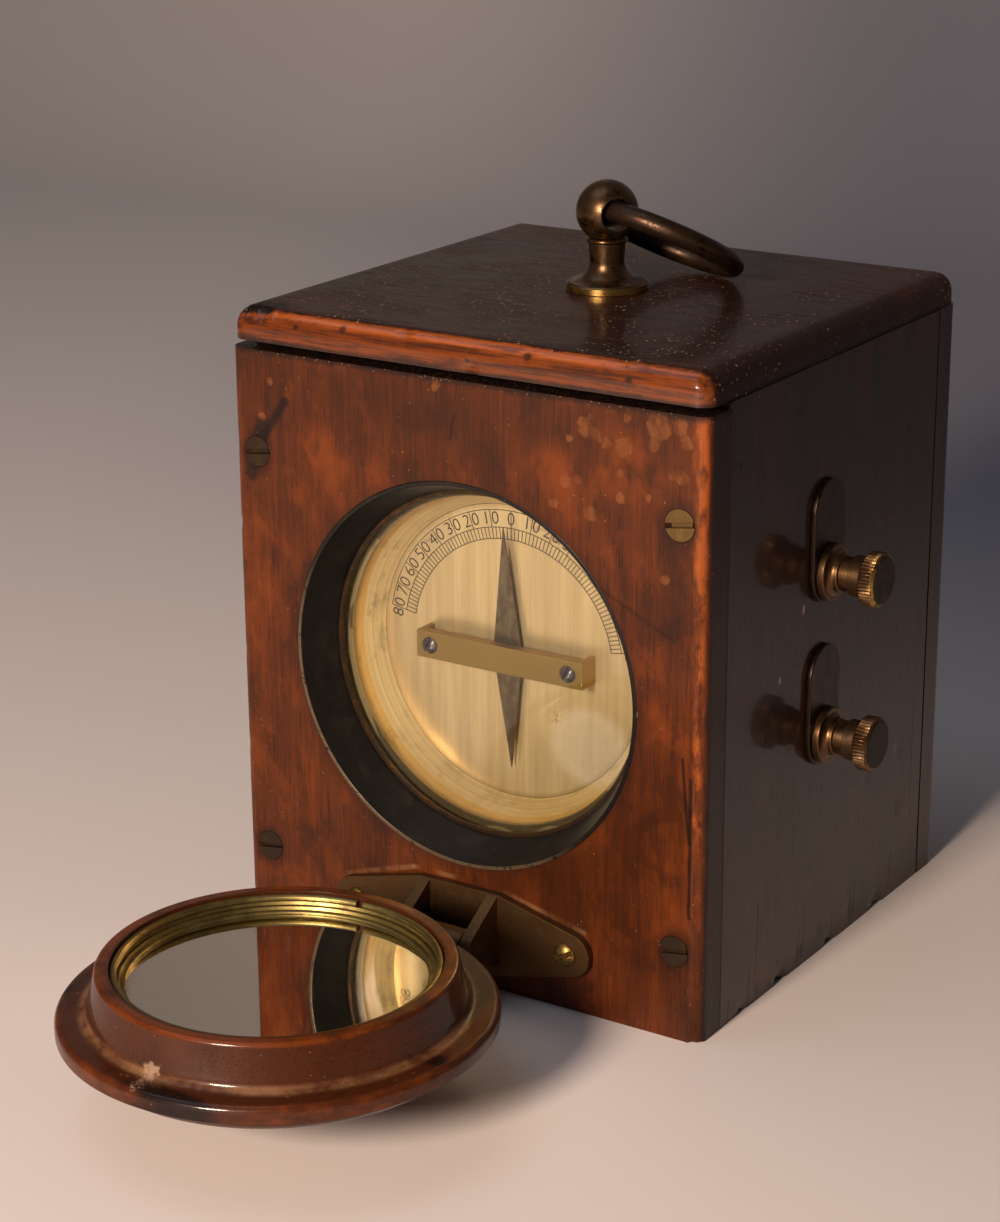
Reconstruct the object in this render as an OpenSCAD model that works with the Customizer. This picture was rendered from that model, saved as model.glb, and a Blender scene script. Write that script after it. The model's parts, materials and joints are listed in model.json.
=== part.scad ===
// Lineman's galvanometer: a mahogany box with a recessed dial, a turned mirror cover on a
// bronze hinge, a lifting ring on the lid and two binding posts on the right-hand side.
// Millimetres, +Z up, front face towards -Y, origin at the middle of the underside.

/* [Case] */
// Width of the case across the front
case_w = 100; // [95:1:140]
// Depth of the case from front to back
case_d = 97; // [85:1:140]
// Height of the case to the top of the lid
case_h = 122; // [112:1:160]
// Thickness of the lid
lid_t = 6.1; // [4:0.1:10]
// Rounding of the lid's upper edges and corners
lid_edge_r = 3.6; // [1:0.1:3.9]
// Open joint between the front panel and the lid
lid_joint = 1.4; // [0.4:0.1:3]
// Thickness of the front panel
front_t = 7.5; // [6:0.1:10]
// Thickness of the back panel
back_t = 7.5; // [6:0.1:10]
// Thickness of each side board
side_t = 9; // [7:0.1:11]
// Thickness of the base board
base_t = 8; // [5:0.1:12]
// Rounding of the upright arrises
arris_r = 2.4; // [0.5:0.1:5]
// Distance of the panel screws from the sides of the case
panel_screw_inset = 5.5; // [4:0.1:7]
// Height of the lower panel screws
panel_screw_low = 17; // [8:0.5:30]
// Distance of the upper panel screws below the lid
panel_screw_drop = 20.6; // [8:0.5:30]
// Head diameter of the panel screws
panel_screw_head = 5.8; // [4:0.1:7]
// Shank diameter of the panel screws
panel_screw_d = 2.9; // [2:0.1:3.5]
// Length of the panel screws
panel_screw_len = 19; // [12:0.5:25]

/* [Dial recess] */
// Height of the dial centre
dial_z = 59.5; // [56:0.5:70]
// Diameter of the recess at the front face
recess_d = 71.4; // [66:0.2:75]
// How much the recess radius shrinks towards its back end
recess_taper = 2.9; // [1:0.1:4]
// Wall of the lacquered liner
liner_t = 0.8; // [0.5:0.1:1.5]
// How far the liner stands out behind the front panel
liner_tail = 0.5; // [0.3:0.1:1.5]
// Lip of the bezel that holds the glass
bezel_lip_t = 0.8; // [0.5:0.1:2]
// How far the bezel lip stands in from the liner
bezel_lip = 0.6; // [0.2:0.1:1.5]
// Thickness of the dial glass
glass_t = 1.6; // [1:0.1:3]
// How far the bezel's lip covers the edge of the glass
glass_seat = 1.6; // [0.8:0.1:2.4]
// Width of the bezel outside the liner
bezel_rim = 2.2; // [1.5:0.1:2.4]
// How far the drum's wall stands in from the bezel's lip
drum_step = 1; // [0.4:0.1:2]
// Straight wall of the drum behind the glass
drum_lip = 2; // [1:0.1:4]
// Length of the drum's sloping wall
drum_cone = 4.5; // [4:0.1:8]
// Wall of the drum
drum_t = 1.2; // [0.8:0.1:2]
// Thickness of the drum's flange and back
drum_flange_t = 1.5; // [1:0.1:2.5]
// Distance of the drum screws from the edge of the bezel
lug_reach = 4.5; // [3.5:0.1:6]
// Radius of the drum lugs
lug_r = 3.4; // [2.8:0.1:4]
// Diameter of the drum screws
drum_screw_d = 2.2; // [1.6:0.1:2.6]

/* [Dial and needle] */
// Diameter of the dial plate
dial_d = 56.4; // [50:0.2:60]
// Thickness of the dial plate
dial_t = 1; // [0.6:0.1:1.6]
// Length of the bridge bar
bridge_l = 36; // [32:0.2:42]
// Height of the bridge bar
bridge_w = 5.2; // [4:0.1:7]
// How far the bridge stands out from the dial
bridge_out = 4.7; // [4:0.1:5]
// Thickness of the bridge between its feet
bridge_t = 2; // [1.4:0.1:2.4]
// Thickness of the walls at the ends of the bridge
bridge_wall = 1; // [0.6:0.1:1.4]
// Diameter of the bridge's two feet
bridge_foot_d = 3.4; // [3:0.1:3.8]
// Distance between the bridge screws
bridge_screw_span = 30; // [24:0.2:36]
// Head diameter of the bridge screws
bridge_screw_head = 3.2; // [2.4:0.1:4]
// Length of the pointer from tip to tip
pointer_l = 46.4; // [36:0.2:50]
// How far the pointer's middle lies above its pivot
pointer_lead = 1.1; // [0:0.1:1.5]
// Greatest width of the pointer
pointer_w = 6.2; // [3:0.1:8]
// Thickness of the pointer
pointer_t = 0.4; // [0.2:0.1:0.5]
// Where the pointer rests, left of zero
pointer_rest = 2; // [0:0.5:5]
// Diameter of the arbor
arbor_d = 1.6; // [1.4:0.1:2]
// Diameter of the arbor's pivots
pivot_d = 0.9; // [0.7:0.1:1.1]

/* [Movement] */
// Depth of the coil bobbins from front to back
coil_y = 16; // [12:0.5:24]
// Height of the coil bobbins
coil_z = 44; // [38:0.5:48]
// Length of each coil bobbin
coil_x = 12; // [8:0.5:13]
// Gap between the two bobbins
coil_gap = 3.2; // [3:0.1:5]
// Height of the window in the bobbins
window_z = 30; // [29:0.5:34]
// Depth of the window in the bobbins
window_y = 6; // [4:0.2:8]
// Wall of the bobbins
bobbin_t = 0.8; // [0.5:0.1:1.2]
// How far the winding lies below the edge of the bobbin cheeks
winding_inset = 0.6; // [0.3:0.1:1.5]
// Length of the magnet
magnet_l = 26; // [18:0.5:28]
// Width of the magnet
magnet_w = 5; // [3:0.2:7]
// Thickness of the magnet
magnet_t = 1.8; // [1:0.1:3]
// Distance of the pillars from the dial centre, across and up
pillar_offset = 18; // [17:0.2:19]
// Diameter of the pillars
pillar_d = 3.6; // [3:0.1:4.4]
// Thickness of the back cock
cock_t = 1.6; // [1:0.1:3]
// Diameter of the lead wires
lead_d = 1.4; // [1:0.1:2]

/* [Mirror cover] */
// How far the flange covers the front face round the recess
cover_lap = 1.8; // [1:0.1:4]
// Thickness of the cover behind its flange face
flange_t = 6.4; // [5:0.1:9]
// Height of the rim above the flange face
rim_h = 7.6; // [6:0.1:8]
// Space between the rim and the back end of the recess
rim_play = 2.1; // [1.6:0.1:4]
// Width of the rim's lip
lip_w = 2.6; // [2:0.1:4]
// How far the rim widens from its lip to its foot
rim_taper = 1.3; // [0.4:0.1:2]
// Depth of the mirror below the lip
mirror_drop = 3.4; // [3.1:0.1:5.6]
// Thickness of the mirror
mirror_t = 2; // [1:0.1:2.6]
// Width of the bezel over the mirror's edge
mirror_bezel_w = 2.7; // [2:0.1:4]
// Height of the bezel over the mirror
mirror_bezel_h = 1.7; // [1.2:0.1:2]
// Wire diameter of the spring ring
spring_d = 1.3; // [0.8:0.1:1.6]
// Opening in the spring ring
spring_gap = 1.4; // [1:0.1:8]
// Space between the closed cover and the front face
closed_gap = 0.5; // [0.3:0.1:1]

/* [Hinge] */
// Height of the hinge pin
hinge_z = 11.6; // [9.5:0.1:13]
// Diameter of the hinge pin
pin_d = 3; // [2:0.1:3.6]
// Length of the bracket's plate
bracket_l = 56; // [44:0.5:70]
// Height of the bracket's plate
bracket_h = 16.2; // [12:0.1:18]
// Thickness of the bracket's plate
bracket_t = 1.6; // [1:0.1:2.2]
// Radius of the plate's ends
bracket_end_r = 4.2; // [3:0.1:5]
// Thickness of the bracket's ears
ear_t = 2.2; // [1.5:0.1:3]
// Radius of the ears round the pin
ear_r = 3.2; // [2.8:0.1:4]
// Distance of the bracket screws from the plate's ends
bracket_screw_inset = 5; // [3.5:0.1:7]
// Head diameter of the bracket screws
bracket_screw_head = 4.4; // [3.4:0.1:6]
// Width of the hinge arm
arm_w = 12; // [8:0.2:16]
// Thickness of the hinge arm
arm_t = 2.2; // [1.6:0.1:3]
// Length of the hinge arm from the pin
arm_l = 44; // [42:0.5:56]
// Distance of the arm's first screw from the pin
arm_screw_near = 19; // [16:0.5:24]
// Distance of the arm's second screw from the pin
arm_screw_far = 38; // [30:0.5:42]
// Radius of the arm's knuckle
knuckle_r = 3; // [2.6:0.1:3.6]
// Height of the arm's stop heel
heel_h = 2.2; // [1:0.1:2.6]

/* [Lifting ring] */
// Distance of the ring post to the right of the middle of the lid
post_x = 1; // [-10:0.5:10]
// Diameter of the ball on the post
ball_d = 11.6; // [10:0.1:14]
// Height of the ball's centre above the lid
ball_h = 14.4; // [13:0.1:18]
// Diameter of the post's foot
post_foot_d = 15.2; // [12:0.1:20]
// Height of the post's foot
post_foot_h = 1.5; // [1:0.1:2.5]
// Least diameter of the post's neck
post_neck_d = 6.4; // [5.6:0.1:7]
// Diameter of the bead under the ball
post_bead_d = 7.7; // [7.4:0.1:8.6]
// Height of the bead under the ball
post_bead_h = 0.9; // [0.6:0.1:1.4]
// Diameter of the threaded tail under the lid
tail_d = 5; // [4:0.1:6]
// Wire diameter of the ring
ring_wire_d = 3.9; // [3:0.1:4.4]
// Radius of the ring to the middle of its wire
ring_r = 13.7; // [11.5:0.1:18]
// How much wider than the wire the hole in the ball is
ring_play = 2.2; // [2.1:0.1:3]
// Direction in which the ring has fallen, from right towards the back
ring_turn = 52; // [0:1:90]
// How far the ring leans to one side in its hole
ring_roll = 7; // [0:1:8]

/* [Terminals] */
// Distance of the terminals in front of the middle of the case
terminal_y = 4.9; // [-10:0.2:15]
// Height of the upper terminal
upper_terminal_z = 76.6; // [74:0.1:90]
// Height of the lower terminal
lower_terminal_z = 45.2; // [30:0.1:48]
// Width of the terminal plates
terminal_plate_w = 11.8; // [11:0.1:16]
// Height of the terminal plates
terminal_plate_h = 23.2; // [18:0.2:26]
// Thickness of the terminal plates
terminal_plate_t = 1; // [0.6:0.1:1.6]
// Diameter of the post's flange
post_flange_d = 10.6; // [9:0.1:12]
// Thickness of the post's flange
post_flange_t = 1.5; // [1:0.1:2.5]
// Diameter of the post's shoulder
shoulder_d = 7; // [6.8:0.1:8.4]
// Length of the post's shoulder
shoulder_l = 1.7; // [1.4:0.1:3]
// Diameter of the threaded stud
stud_d = 4; // [3:0.1:4.6]
// Diameter of the clamp collar
collar_d = 6.6; // [6:0.1:8]
// Length of the clamp collar
collar_l = 2; // [1.4:0.1:3]
// Diameter of the thumb nut's shank
nut_shank_d = 7.6; // [6.6:0.1:9]
// Length of the thumb nut's shank
nut_shank_l = 2.4; // [1.4:0.1:4]
// Diameter of the thumb nut's knurled rim
nut_rim_d = 10.2; // [9:0.1:13]
// Length of the thumb nut's knurled rim
nut_rim_l = 3.4; // [2:0.1:4]
// Thickness of the thumb nut's closed end
nut_end_t = 1.4; // [1:0.1:2]
// Number of ridges on the thumb nut
knurl_count = 44; // [24:1:60]
// Depth of the ridges on the thumb nut
knurl_depth = 0.3; // [0.1:0.05:0.5]

/* [Clearances] */
// Space round screws and other fixed shanks
fit_gap = 0.05; // [0.02:0.01:0.15]
// Radial space in bearings and on threads
run_gap = 0.06; // [0.03:0.01:0.1]
// Space beside and between moving pieces
side_gap = 0.3; // [0.2:0.05:0.6]
// Space at a stop or where a loose piece rests
rest_gap = 0.1; // [0.05:0.05:0.3]

/* [Hidden] */
$fn = 64;
cut = 0.5;
slot_w = 0.9;
slot_depth = 0.8;

front_y = -case_d / 2;
back_y = case_d / 2;
lid_under = case_h - lid_t;
front_top = lid_under - lid_joint;
panel_screw_x = case_w / 2 - panel_screw_inset;
panel_screw_high = lid_under - panel_screw_drop;

// Radii and depths of the dial recess, with depths counted from the front face
recess_r = recess_d / 2;
recess_back_r = recess_r - recess_taper;
liner_depth = front_t + liner_tail;
taper_slope = recess_taper / liner_depth;
bezel_r = recess_back_r + liner_t + bezel_rim;
bezel_lip_r = recess_back_r - bezel_lip;
glass_r = bezel_lip_r + glass_seat;
glass_front = liner_depth + bezel_lip_t;
drum_front = glass_front + glass_t;
drum_r = bezel_lip_r - drum_step;
cone_front = drum_front + drum_lip;
dial_front = cone_front + drum_cone;
dial_back = dial_front + dial_t;
drum_back = dial_back + drum_flange_t;
dial_r = dial_d / 2;
lug_circle = bezel_r + lug_reach;
lug_root = 1;
drum_screw_bite = 5;
drum_screw_len = drum_front + drum_flange_t - front_t + drum_screw_bite;
drum_screw_head = 4.2;
drum_screw_head_h = 1.1;

bridge_front = dial_front - bridge_out;
bridge_back = bridge_front + bridge_t;
pointer_front = (bridge_back + dial_front - pointer_t) / 2;
arbor_play = 1.2;
arbor_hole_d = arbor_d + 2 * arbor_play;
bridge_screw_d = 1.6;
bridge_screw_head_h = 0.9;
pivot_depth = 1.2;
hub_d = 3.4;
hub_t = 0.9;

coil_mid = drum_back + coil_y / 2;
cock_front = drum_back + coil_y;
cock_w = 2 * pillar_offset + 2 * pillar_d;
coil_edge = coil_gap / 2 + coil_x;
cock_screw_d = 1.8;
cock_screw_head = 3.6;
cock_screw_head_h = 1.2;
cock_screw_bite = 4.5;

// Cover, standing open and level
cover_plane = hinge_z + arm_t / 2 + flange_t;
pin_out = closed_gap + flange_t + arm_t / 2;
pin_y = front_y - pin_out;
cover_y = pin_y - (dial_z - hinge_z);
flange_r = recess_r + cover_lap;
lip_r = recess_back_r - rim_play;
rim_foot_r = lip_r + rim_taper;
well_r = lip_r - lip_w;
mirror_top = rim_h - mirror_drop;
well_floor = mirror_top - mirror_t;
mirror_r = well_r - fit_gap;
spring_z = mirror_top + mirror_bezel_h + spring_d / 2;
spring_turn = 95;
ear_in = arm_w / 2 + side_gap;
bracket_flat = ear_in + ear_t;
ear_foot = 2;
ear_set = 0.2;
ear_slope = 60;
heel_reach = pin_out - bracket_t - rest_gap;
bracket_screw_x = bracket_l / 2 - bracket_screw_inset;
bracket_screw_d = 2.2;
bracket_screw_head_h = 1.3;
blind_skin = 1;
bracket_screw_bite = front_t - blind_skin;
arm_screw_d = 2.6;
arm_screw_head = 4.6;
arm_screw_len = 6;

// Lifting ring
ring_hole_d = ring_wire_d + ring_play;
ring_sag = ring_r - sqrt(ring_r * ring_r - ball_d * ball_d / 4);
ring_reach = ring_r - ring_sag / 2;
// Slope at which the leaning ring touches the lid, from a quadratic in its sine
ring_drop = ball_h - ring_wire_d / 2 - rest_gap;
ring_b = ring_drop * ring_reach;
ring_a = ring_reach * ring_reach - pow(ring_r * cos(ring_roll), 2);
ring_c = ring_drop * ring_drop - pow(ring_r * sin(ring_roll), 2);
ring_tilt = asin(ring_c / (ring_b + sqrt(ring_b * ring_b - ring_a * ring_c)));
post_nut_d = 9;
post_nut_t = 3;
post_washer_d = 13;
washer_t = 1;
tail_end = 1;
tail_l = lid_t + washer_t + post_nut_t + tail_end;

// Terminals, with distances counted outwards from the side of the case
shoulder_end = terminal_plate_t + post_flange_t + shoulder_l;
collar_end = shoulder_end + collar_l;
nut_rim_start = collar_end + nut_shank_l;
nut_end = nut_rim_start + nut_rim_l;
stud_end = nut_end - nut_end_t - side_gap;
inner_nut_d = 7.4;
inner_nut_t = 2.4;
inner_washer_d = 8;
terminal_tail = side_t + washer_t + inner_nut_t + tail_end;
lead_bow = 8;
lead_run = 20;
lead_rise = 6;
lead_steps = 14;
lead_sides = 8;

wood_front = "#8a3d1c";
wood_side = "#4a2418";
wood_lid = "#5a2a18";
wood_cover = "#6b2f18";
dark_brass = "#6b5a3a";
brass = "#b89550";
gold_brass = "#c9a04a";
dial_gold = "#d8be84";
bronze = "#5e4a30";
steel = "#5a5862";
black = "#1a1714";
copper_silk = "#5b7a4a";

// Points along an arc from one angle to another
function arc(x, y, r, from, to, steps = 6) =
    [for (i = [0 : steps]) let (a = from + (to - from) * i / steps) [x + r * cos(a), y + r * sin(a)]];

// Point on a cubic curve
function bezier(p, t) =
    pow(1 - t, 3) * p[0] + 3 * t * pow(1 - t, 2) * p[1] + 3 * t * t * (1 - t) * p[2] + pow(t, 3) * p[3];

// Depth axis of the dial: local +Z points into the case
module at_depth(d) {
    translate([0, front_y + d, dial_z])
        rotate([-90, 0, 0])
            children();
}

// Axis of the ring post: local origin on the top of the lid
module at_post() {
    translate([post_x, 0, case_h])
        children();
}

// Axis of a terminal: local +Z points out of the side of the case
module at_terminal(z) {
    translate([case_w / 2, -terminal_y, z])
        rotate([0, 90, 0])
            children();
}

// Frame of the open cover: local origin at the middle of the flange face
module at_cover() {
    translate([0, cover_y, cover_plane])
        children();
}

// The four panel screw places, with the head towards -Y and local +Z out of the wood
module at_panel_screws() {
    for (x = [-panel_screw_x, panel_screw_x])
        for (z = [panel_screw_low, panel_screw_high])
            translate([x, front_y, z])
                rotate([90, 0, 0])
                    children();
}

// Countersunk slotted screw with its head level with z = 0
module countersunk_screw(head_d, shank_d, length, slot_turn = 0) {
    head_h = (head_d - shank_d) / 2;
    difference() {
        union() {
            translate([0, 0, -head_h])
                cylinder(h = head_h, d1 = shank_d, d2 = head_d);
            translate([0, 0, -length])
                cylinder(h = length - head_h, d = shank_d);
        }
        rotate([0, 0, slot_turn])
            translate([-head_d, -slot_w / 2, -slot_depth])
                cube([2 * head_d, slot_w, slot_depth + cut]);
    }
}

// Space for a countersunk screw
module countersunk_hole(head_d, shank_d, length) {
    head_h = (head_d - shank_d) / 2;
    translate([0, 0, -head_h])
        cylinder(h = head_h + fit_gap, d1 = shank_d + 2 * fit_gap, d2 = head_d + 4 * fit_gap);
    translate([0, 0, -length - fit_gap])
        cylinder(h = length, d = shank_d + 2 * fit_gap);
    cylinder(h = cut, d = head_d + 4 * fit_gap);
}

// Round-headed slotted screw with the underside of its head at z = 0
module round_head_screw(head_d, head_h, shank_d, length, slot_turn = 0) {
    edge_h = head_h / 3;
    dome_r = (head_d * head_d / 4 + pow(head_h - edge_h, 2)) / (2 * (head_h - edge_h));
    spread = asin(head_d / 2 / dome_r);
    difference() {
        union() {
            rotate_extrude()
                polygon(concat([[0, 0], [head_d / 2, 0]], arc(0, head_h - dome_r, dome_r, 90 - spread, 90)));
            translate([0, 0, -length])
                cylinder(h = length, d = shank_d);
        }
        rotate([0, 0, slot_turn])
            translate([-head_d, -slot_w / 2, head_h - slot_depth])
                cube([2 * head_d, slot_w, slot_depth + cut]);
    }
}

// Upright board with two rounded arrises on its -Y face
module faced_board(w, t, h) {
    translate([-w / 2 + arris_r, 0, 0])
        cube([w - 2 * arris_r, t, h]);
    translate([-w / 2, arris_r, 0])
        cube([w, t - arris_r, h]);
    for (x = [-w / 2 + arris_r, w / 2 - arris_r])
        translate([x, arris_r, 0])
            cylinder(h = h, r = arris_r);
}

module front_panel() {
    color(wood_front)
        difference() {
            translate([0, front_y, 0])
                faced_board(case_w, front_t, front_top);
            at_depth(-cut)
                cylinder(
                    h = front_t + 2 * cut,
                    r1 = recess_r + liner_t + cut * taper_slope,
                    r2 = recess_r + liner_t - (front_t + cut) * taper_slope
                );
            at_panel_screws()
                countersunk_hole(panel_screw_head, panel_screw_d, panel_screw_len);
            for (x = [-bracket_screw_x, bracket_screw_x])
                translate([x, front_y, hinge_z])
                    rotate([90, 0, 0])
                        translate([0, 0, -bracket_screw_bite - fit_gap])
                            cylinder(h = bracket_screw_bite + cut, d = bracket_screw_d + 2 * fit_gap);
            at_lugs(front_t - drum_screw_bite - fit_gap)
                cylinder(h = drum_screw_bite + cut, d = drum_screw_d + 2 * fit_gap);
        }
}

module back_panel() {
    color(wood_side)
        difference() {
            rotate([0, 0, 180])
                translate([0, -back_y, 0])
                    faced_board(case_w, back_t, lid_under);
            rotate([0, 0, 180])
                at_panel_screws()
                    countersunk_hole(panel_screw_head, panel_screw_d, panel_screw_len);
        }
}

// Side board between the two panels, placed on the +X side
module side_board() {
    difference() {
        translate([case_w / 2 - side_t, front_y + front_t, 0])
            cube([side_t, case_d - front_t - back_t, lid_under]);
        at_panel_screws()
            countersunk_hole(panel_screw_head, panel_screw_d, panel_screw_len);
        rotate([0, 0, 180])
            at_panel_screws()
                countersunk_hole(panel_screw_head, panel_screw_d, panel_screw_len);
    }
}

module left_side() {
    color(wood_side)
        mirror([1, 0, 0])
            side_board();
}

module right_side() {
    color(wood_side)
        difference() {
            side_board();
            for (z = [upper_terminal_z, lower_terminal_z])
                at_terminal(z)
                    translate([0, 0, -side_t - cut])
                        cylinder(h = side_t + 2 * cut, d = stud_d + 2 * fit_gap);
        }
}

module base_board() {
    color(wood_side)
        translate([side_t - case_w / 2, front_y + front_t, 0])
            cube([case_w - 2 * side_t, case_d - front_t - back_t, base_t]);
}

module lid() {
    corner_x = case_w / 2 - lid_edge_r;
    corner_y = case_d / 2 - lid_edge_r;
    color(wood_lid)
        difference() {
            hull($fn = 32)
                for (x = [-corner_x, corner_x])
                    for (y = [-corner_y, corner_y])
                        translate([x, y, lid_under])
                            rotate_extrude()
                                polygon(concat(
                                    [[0, 0], [lid_edge_r, 0]],
                                    arc(0, lid_t - lid_edge_r, lid_edge_r, 0, 90)
                                ));
            at_post()
                translate([0, 0, -lid_t - cut])
                    cylinder(h = lid_t + 2 * cut, d = tail_d + 2 * fit_gap);
        }
}

module front_panel_screws() {
    color(dark_brass)
        at_panel_screws()
            countersunk_screw(panel_screw_head, panel_screw_d, panel_screw_len, slot_turn = 8);
}

module back_panel_screws() {
    color(dark_brass)
        rotate([0, 0, 180])
            at_panel_screws()
                countersunk_screw(panel_screw_head, panel_screw_d, panel_screw_len, slot_turn = 35);
}

// Outline of the post from its foot to the bead under the ball, heights above the lid
function post_outline() =
    let (
        foot_r = post_foot_d / 2,
        foot_bevel = 0.4,
        foot_land = 0.7,
        neck_r = post_neck_d / 2,
        neck_flare = 0.25,
        neck_share = 0.6,
        bead_r = post_bead_h / 2,
        bead_top = ball_h - sqrt(pow(ball_d / 2, 2) - pow(neck_r, 2)),
        bead_low = bead_top - post_bead_h,
        neck_h = neck_share * bead_low,
        scoop = foot_r - foot_land - neck_r,
        steps = 8
    ) concat(
        [[0, 0], [foot_r, 0], [foot_r, post_foot_h - foot_bevel], [foot_r - foot_bevel, post_foot_h]],
        [for (i = [0 : steps])
            let (a = 90 * i / steps)
            [neck_r + scoop * (1 - sin(a)), post_foot_h + (neck_h - post_foot_h) * (1 - cos(a))]],
        [[neck_r + neck_flare, bead_low]],
        arc(post_bead_d / 2 - bead_r, bead_low + bead_r, bead_r, -90, 90),
        [[neck_r, bead_top], [0, ball_h]]
    );

module ring_post() {
    color(dark_brass)
        at_post()
            difference() {
                union() {
                    rotate_extrude()
                        polygon(post_outline());
                    translate([0, 0, ball_h])
                        sphere(d = ball_d);
                    translate([0, 0, -tail_l])
                        cylinder(h = tail_l + post_foot_h / 2, d = tail_d);
                }
                translate([0, 0, ball_h])
                    rotate([90, 0, ring_turn])
                        cylinder(h = ball_d + 2 * cut, d = ring_hole_d, center = true);
            }
}

module ring_post_washer() {
    color(brass)
        at_post()
            translate([0, 0, -lid_t - washer_t])
                difference() {
                    cylinder(h = washer_t, d = post_washer_d);
                    translate([0, 0, -cut])
                        cylinder(h = washer_t + 2 * cut, d = tail_d + 2 * fit_gap);
                }
}

module ring_post_nut() {
    color(brass)
        at_post()
            translate([0, 0, -lid_t - washer_t - post_nut_t])
                difference() {
                    cylinder(h = post_nut_t, d = post_nut_d, $fn = 6);
                    translate([0, 0, -cut])
                        cylinder(h = post_nut_t + 2 * cut, d = tail_d + 2 * fit_gap);
                }
}

module carrying_ring() {
    color(dark_brass)
        at_post()
            translate([0, 0, ball_h])
                rotate([-ring_roll, ring_tilt, ring_turn])
                    translate([ring_reach, 0, 0])
                        rotate_extrude()
                            translate([ring_r, 0])
                                circle(d = ring_wire_d);
}

// Outline of the turned cover, heights above the flange face
function cover_outline() =
    let (
        edge_r = 1.3,
        cove_r = 1.6,
        lip_round = 0.9,
        quirk = 2.5,
        side_low = -0.47 * flange_t,
        under_r = flange_t + side_low,
        cove_x = rim_foot_r + cove_r
    ) concat(
        [[0, -flange_t]],
        arc(flange_r - quirk - under_r, side_low, under_r, -90, 0),
        [[flange_r, side_low]],
        arc(flange_r - edge_r, -edge_r, edge_r, 0, 90),
        arc(cove_x, cove_r, cove_r, 270, 180),
        arc(lip_r - lip_round, rim_h - lip_round, lip_round, 0, 90),
        [[well_r, rim_h], [well_r, well_floor], [0, well_floor]]
    );

module cover_body() {
    color(wood_cover)
        difference() {
            at_cover()
                rotate_extrude()
                    polygon(cover_outline());
            at_arm_screws()
                countersunk_hole(arm_screw_head, arm_screw_d, arm_screw_len);
        }
}

module cover_mirror() {
    color("silver")
        at_cover()
            translate([0, 0, well_floor])
                cylinder(h = mirror_t, r = mirror_r);
}

module mirror_bezel() {
    step = mirror_bezel_w / 3;
    rise = mirror_bezel_h / 3;
    lean = step / 4;
    color(brass)
        at_cover()
            translate([0, 0, mirror_top])
                rotate_extrude()
                    translate([mirror_r - mirror_bezel_w, 0])
                        polygon([
                            [0, 0], [mirror_bezel_w, 0], [mirror_bezel_w, mirror_bezel_h],
                            [2 * step + lean, mirror_bezel_h], [2 * step, 2 * rise], [step + lean, 2 * rise],
                            [step, rise], [lean, rise], [0, rise - lean]
                        ]);
}

module mirror_spring_ring() {
    centre_r = well_r - fit_gap - spring_d / 2;
    open_angle = 360 * spring_gap / (2 * PI * centre_r);
    color(gold_brass)
        at_cover()
            translate([0, 0, spring_z])
                rotate([0, 0, spring_turn + open_angle / 2])
                    rotate_extrude(angle = 360 - open_angle)
                        translate([centre_r, 0])
                            circle(d = spring_d);
}

// Outline of the bracket's plate, centred on the pin height
function bracket_outline() =
    let (
        end_x = bracket_l / 2 - bracket_end_r,
        slope = atan((bracket_h / 2 - bracket_end_r) / (end_x - bracket_flat)),
        right = concat(
            [[bracket_flat, bracket_h / 2]],
            arc(end_x, 0, bracket_end_r, 90 - slope, slope - 90, 10),
            [[bracket_flat, -bracket_h / 2]]
        )
    ) concat(right, [for (i = [len(right) - 1 : -1 : 0]) [-right[i][0], right[i][1]]]);

// Side view of an ear: distance out from the panel, height above the pin
function ear_outline() =
    concat(
        [[0, ear_foot - bracket_h / 2], [bracket_t, ear_foot - bracket_h / 2]],
        arc(pin_out, 0, ear_r, -90, ear_slope, 10),
        [[bracket_t, bracket_h / 2 - ear_set], [0, bracket_h / 2 - ear_set]]
    );

module hinge_bracket() {
    color(bronze)
        difference() {
            translate([0, front_y, hinge_z])
                union() {
                    rotate([90, 0, 0])
                        linear_extrude(bracket_t)
                            polygon(bracket_outline());
                    for (x = [-ear_in - ear_t, ear_in])
                        translate([x, 0, 0])
                            rotate([90, 0, 90])
                                linear_extrude(ear_t)
                                    polygon([for (p = ear_outline()) [-p[0], p[1]]]);
                }
            translate([0, pin_y, hinge_z])
                rotate([0, 90, 0])
                    cylinder(h = 2 * (bracket_flat + cut), d = pin_d + 2 * fit_gap, center = true);
            for (x = [-bracket_screw_x, bracket_screw_x])
                translate([x, front_y + cut, hinge_z])
                    rotate([90, 0, 0])
                        cylinder(h = bracket_t + 2 * cut, d = bracket_screw_d + 2 * fit_gap);
        }
}

module hinge_bracket_screws() {
    color(gold_brass)
        for (x = [-bracket_screw_x, bracket_screw_x])
            translate([x, front_y - bracket_t, hinge_z])
                rotate([90, 0, 0])
                    round_head_screw(
                        bracket_screw_head, bracket_screw_head_h, bracket_screw_d,
                        bracket_t + bracket_screw_bite, slot_turn = 25
                    );
}

module hinge_pin() {
    color(dark_brass)
        translate([0, pin_y, hinge_z])
            rotate([0, 90, 0])
                cylinder(h = 2 * (bracket_flat + side_gap), d = pin_d, center = true);
}

// Screw places on the underside of the cover, local +Z out of the wood
module at_arm_screws() {
    for (y = [arm_screw_near, arm_screw_far])
        translate([0, pin_y - y, hinge_z - arm_t / 2])
            rotate([180, 0, 0])
                children();
}

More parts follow.
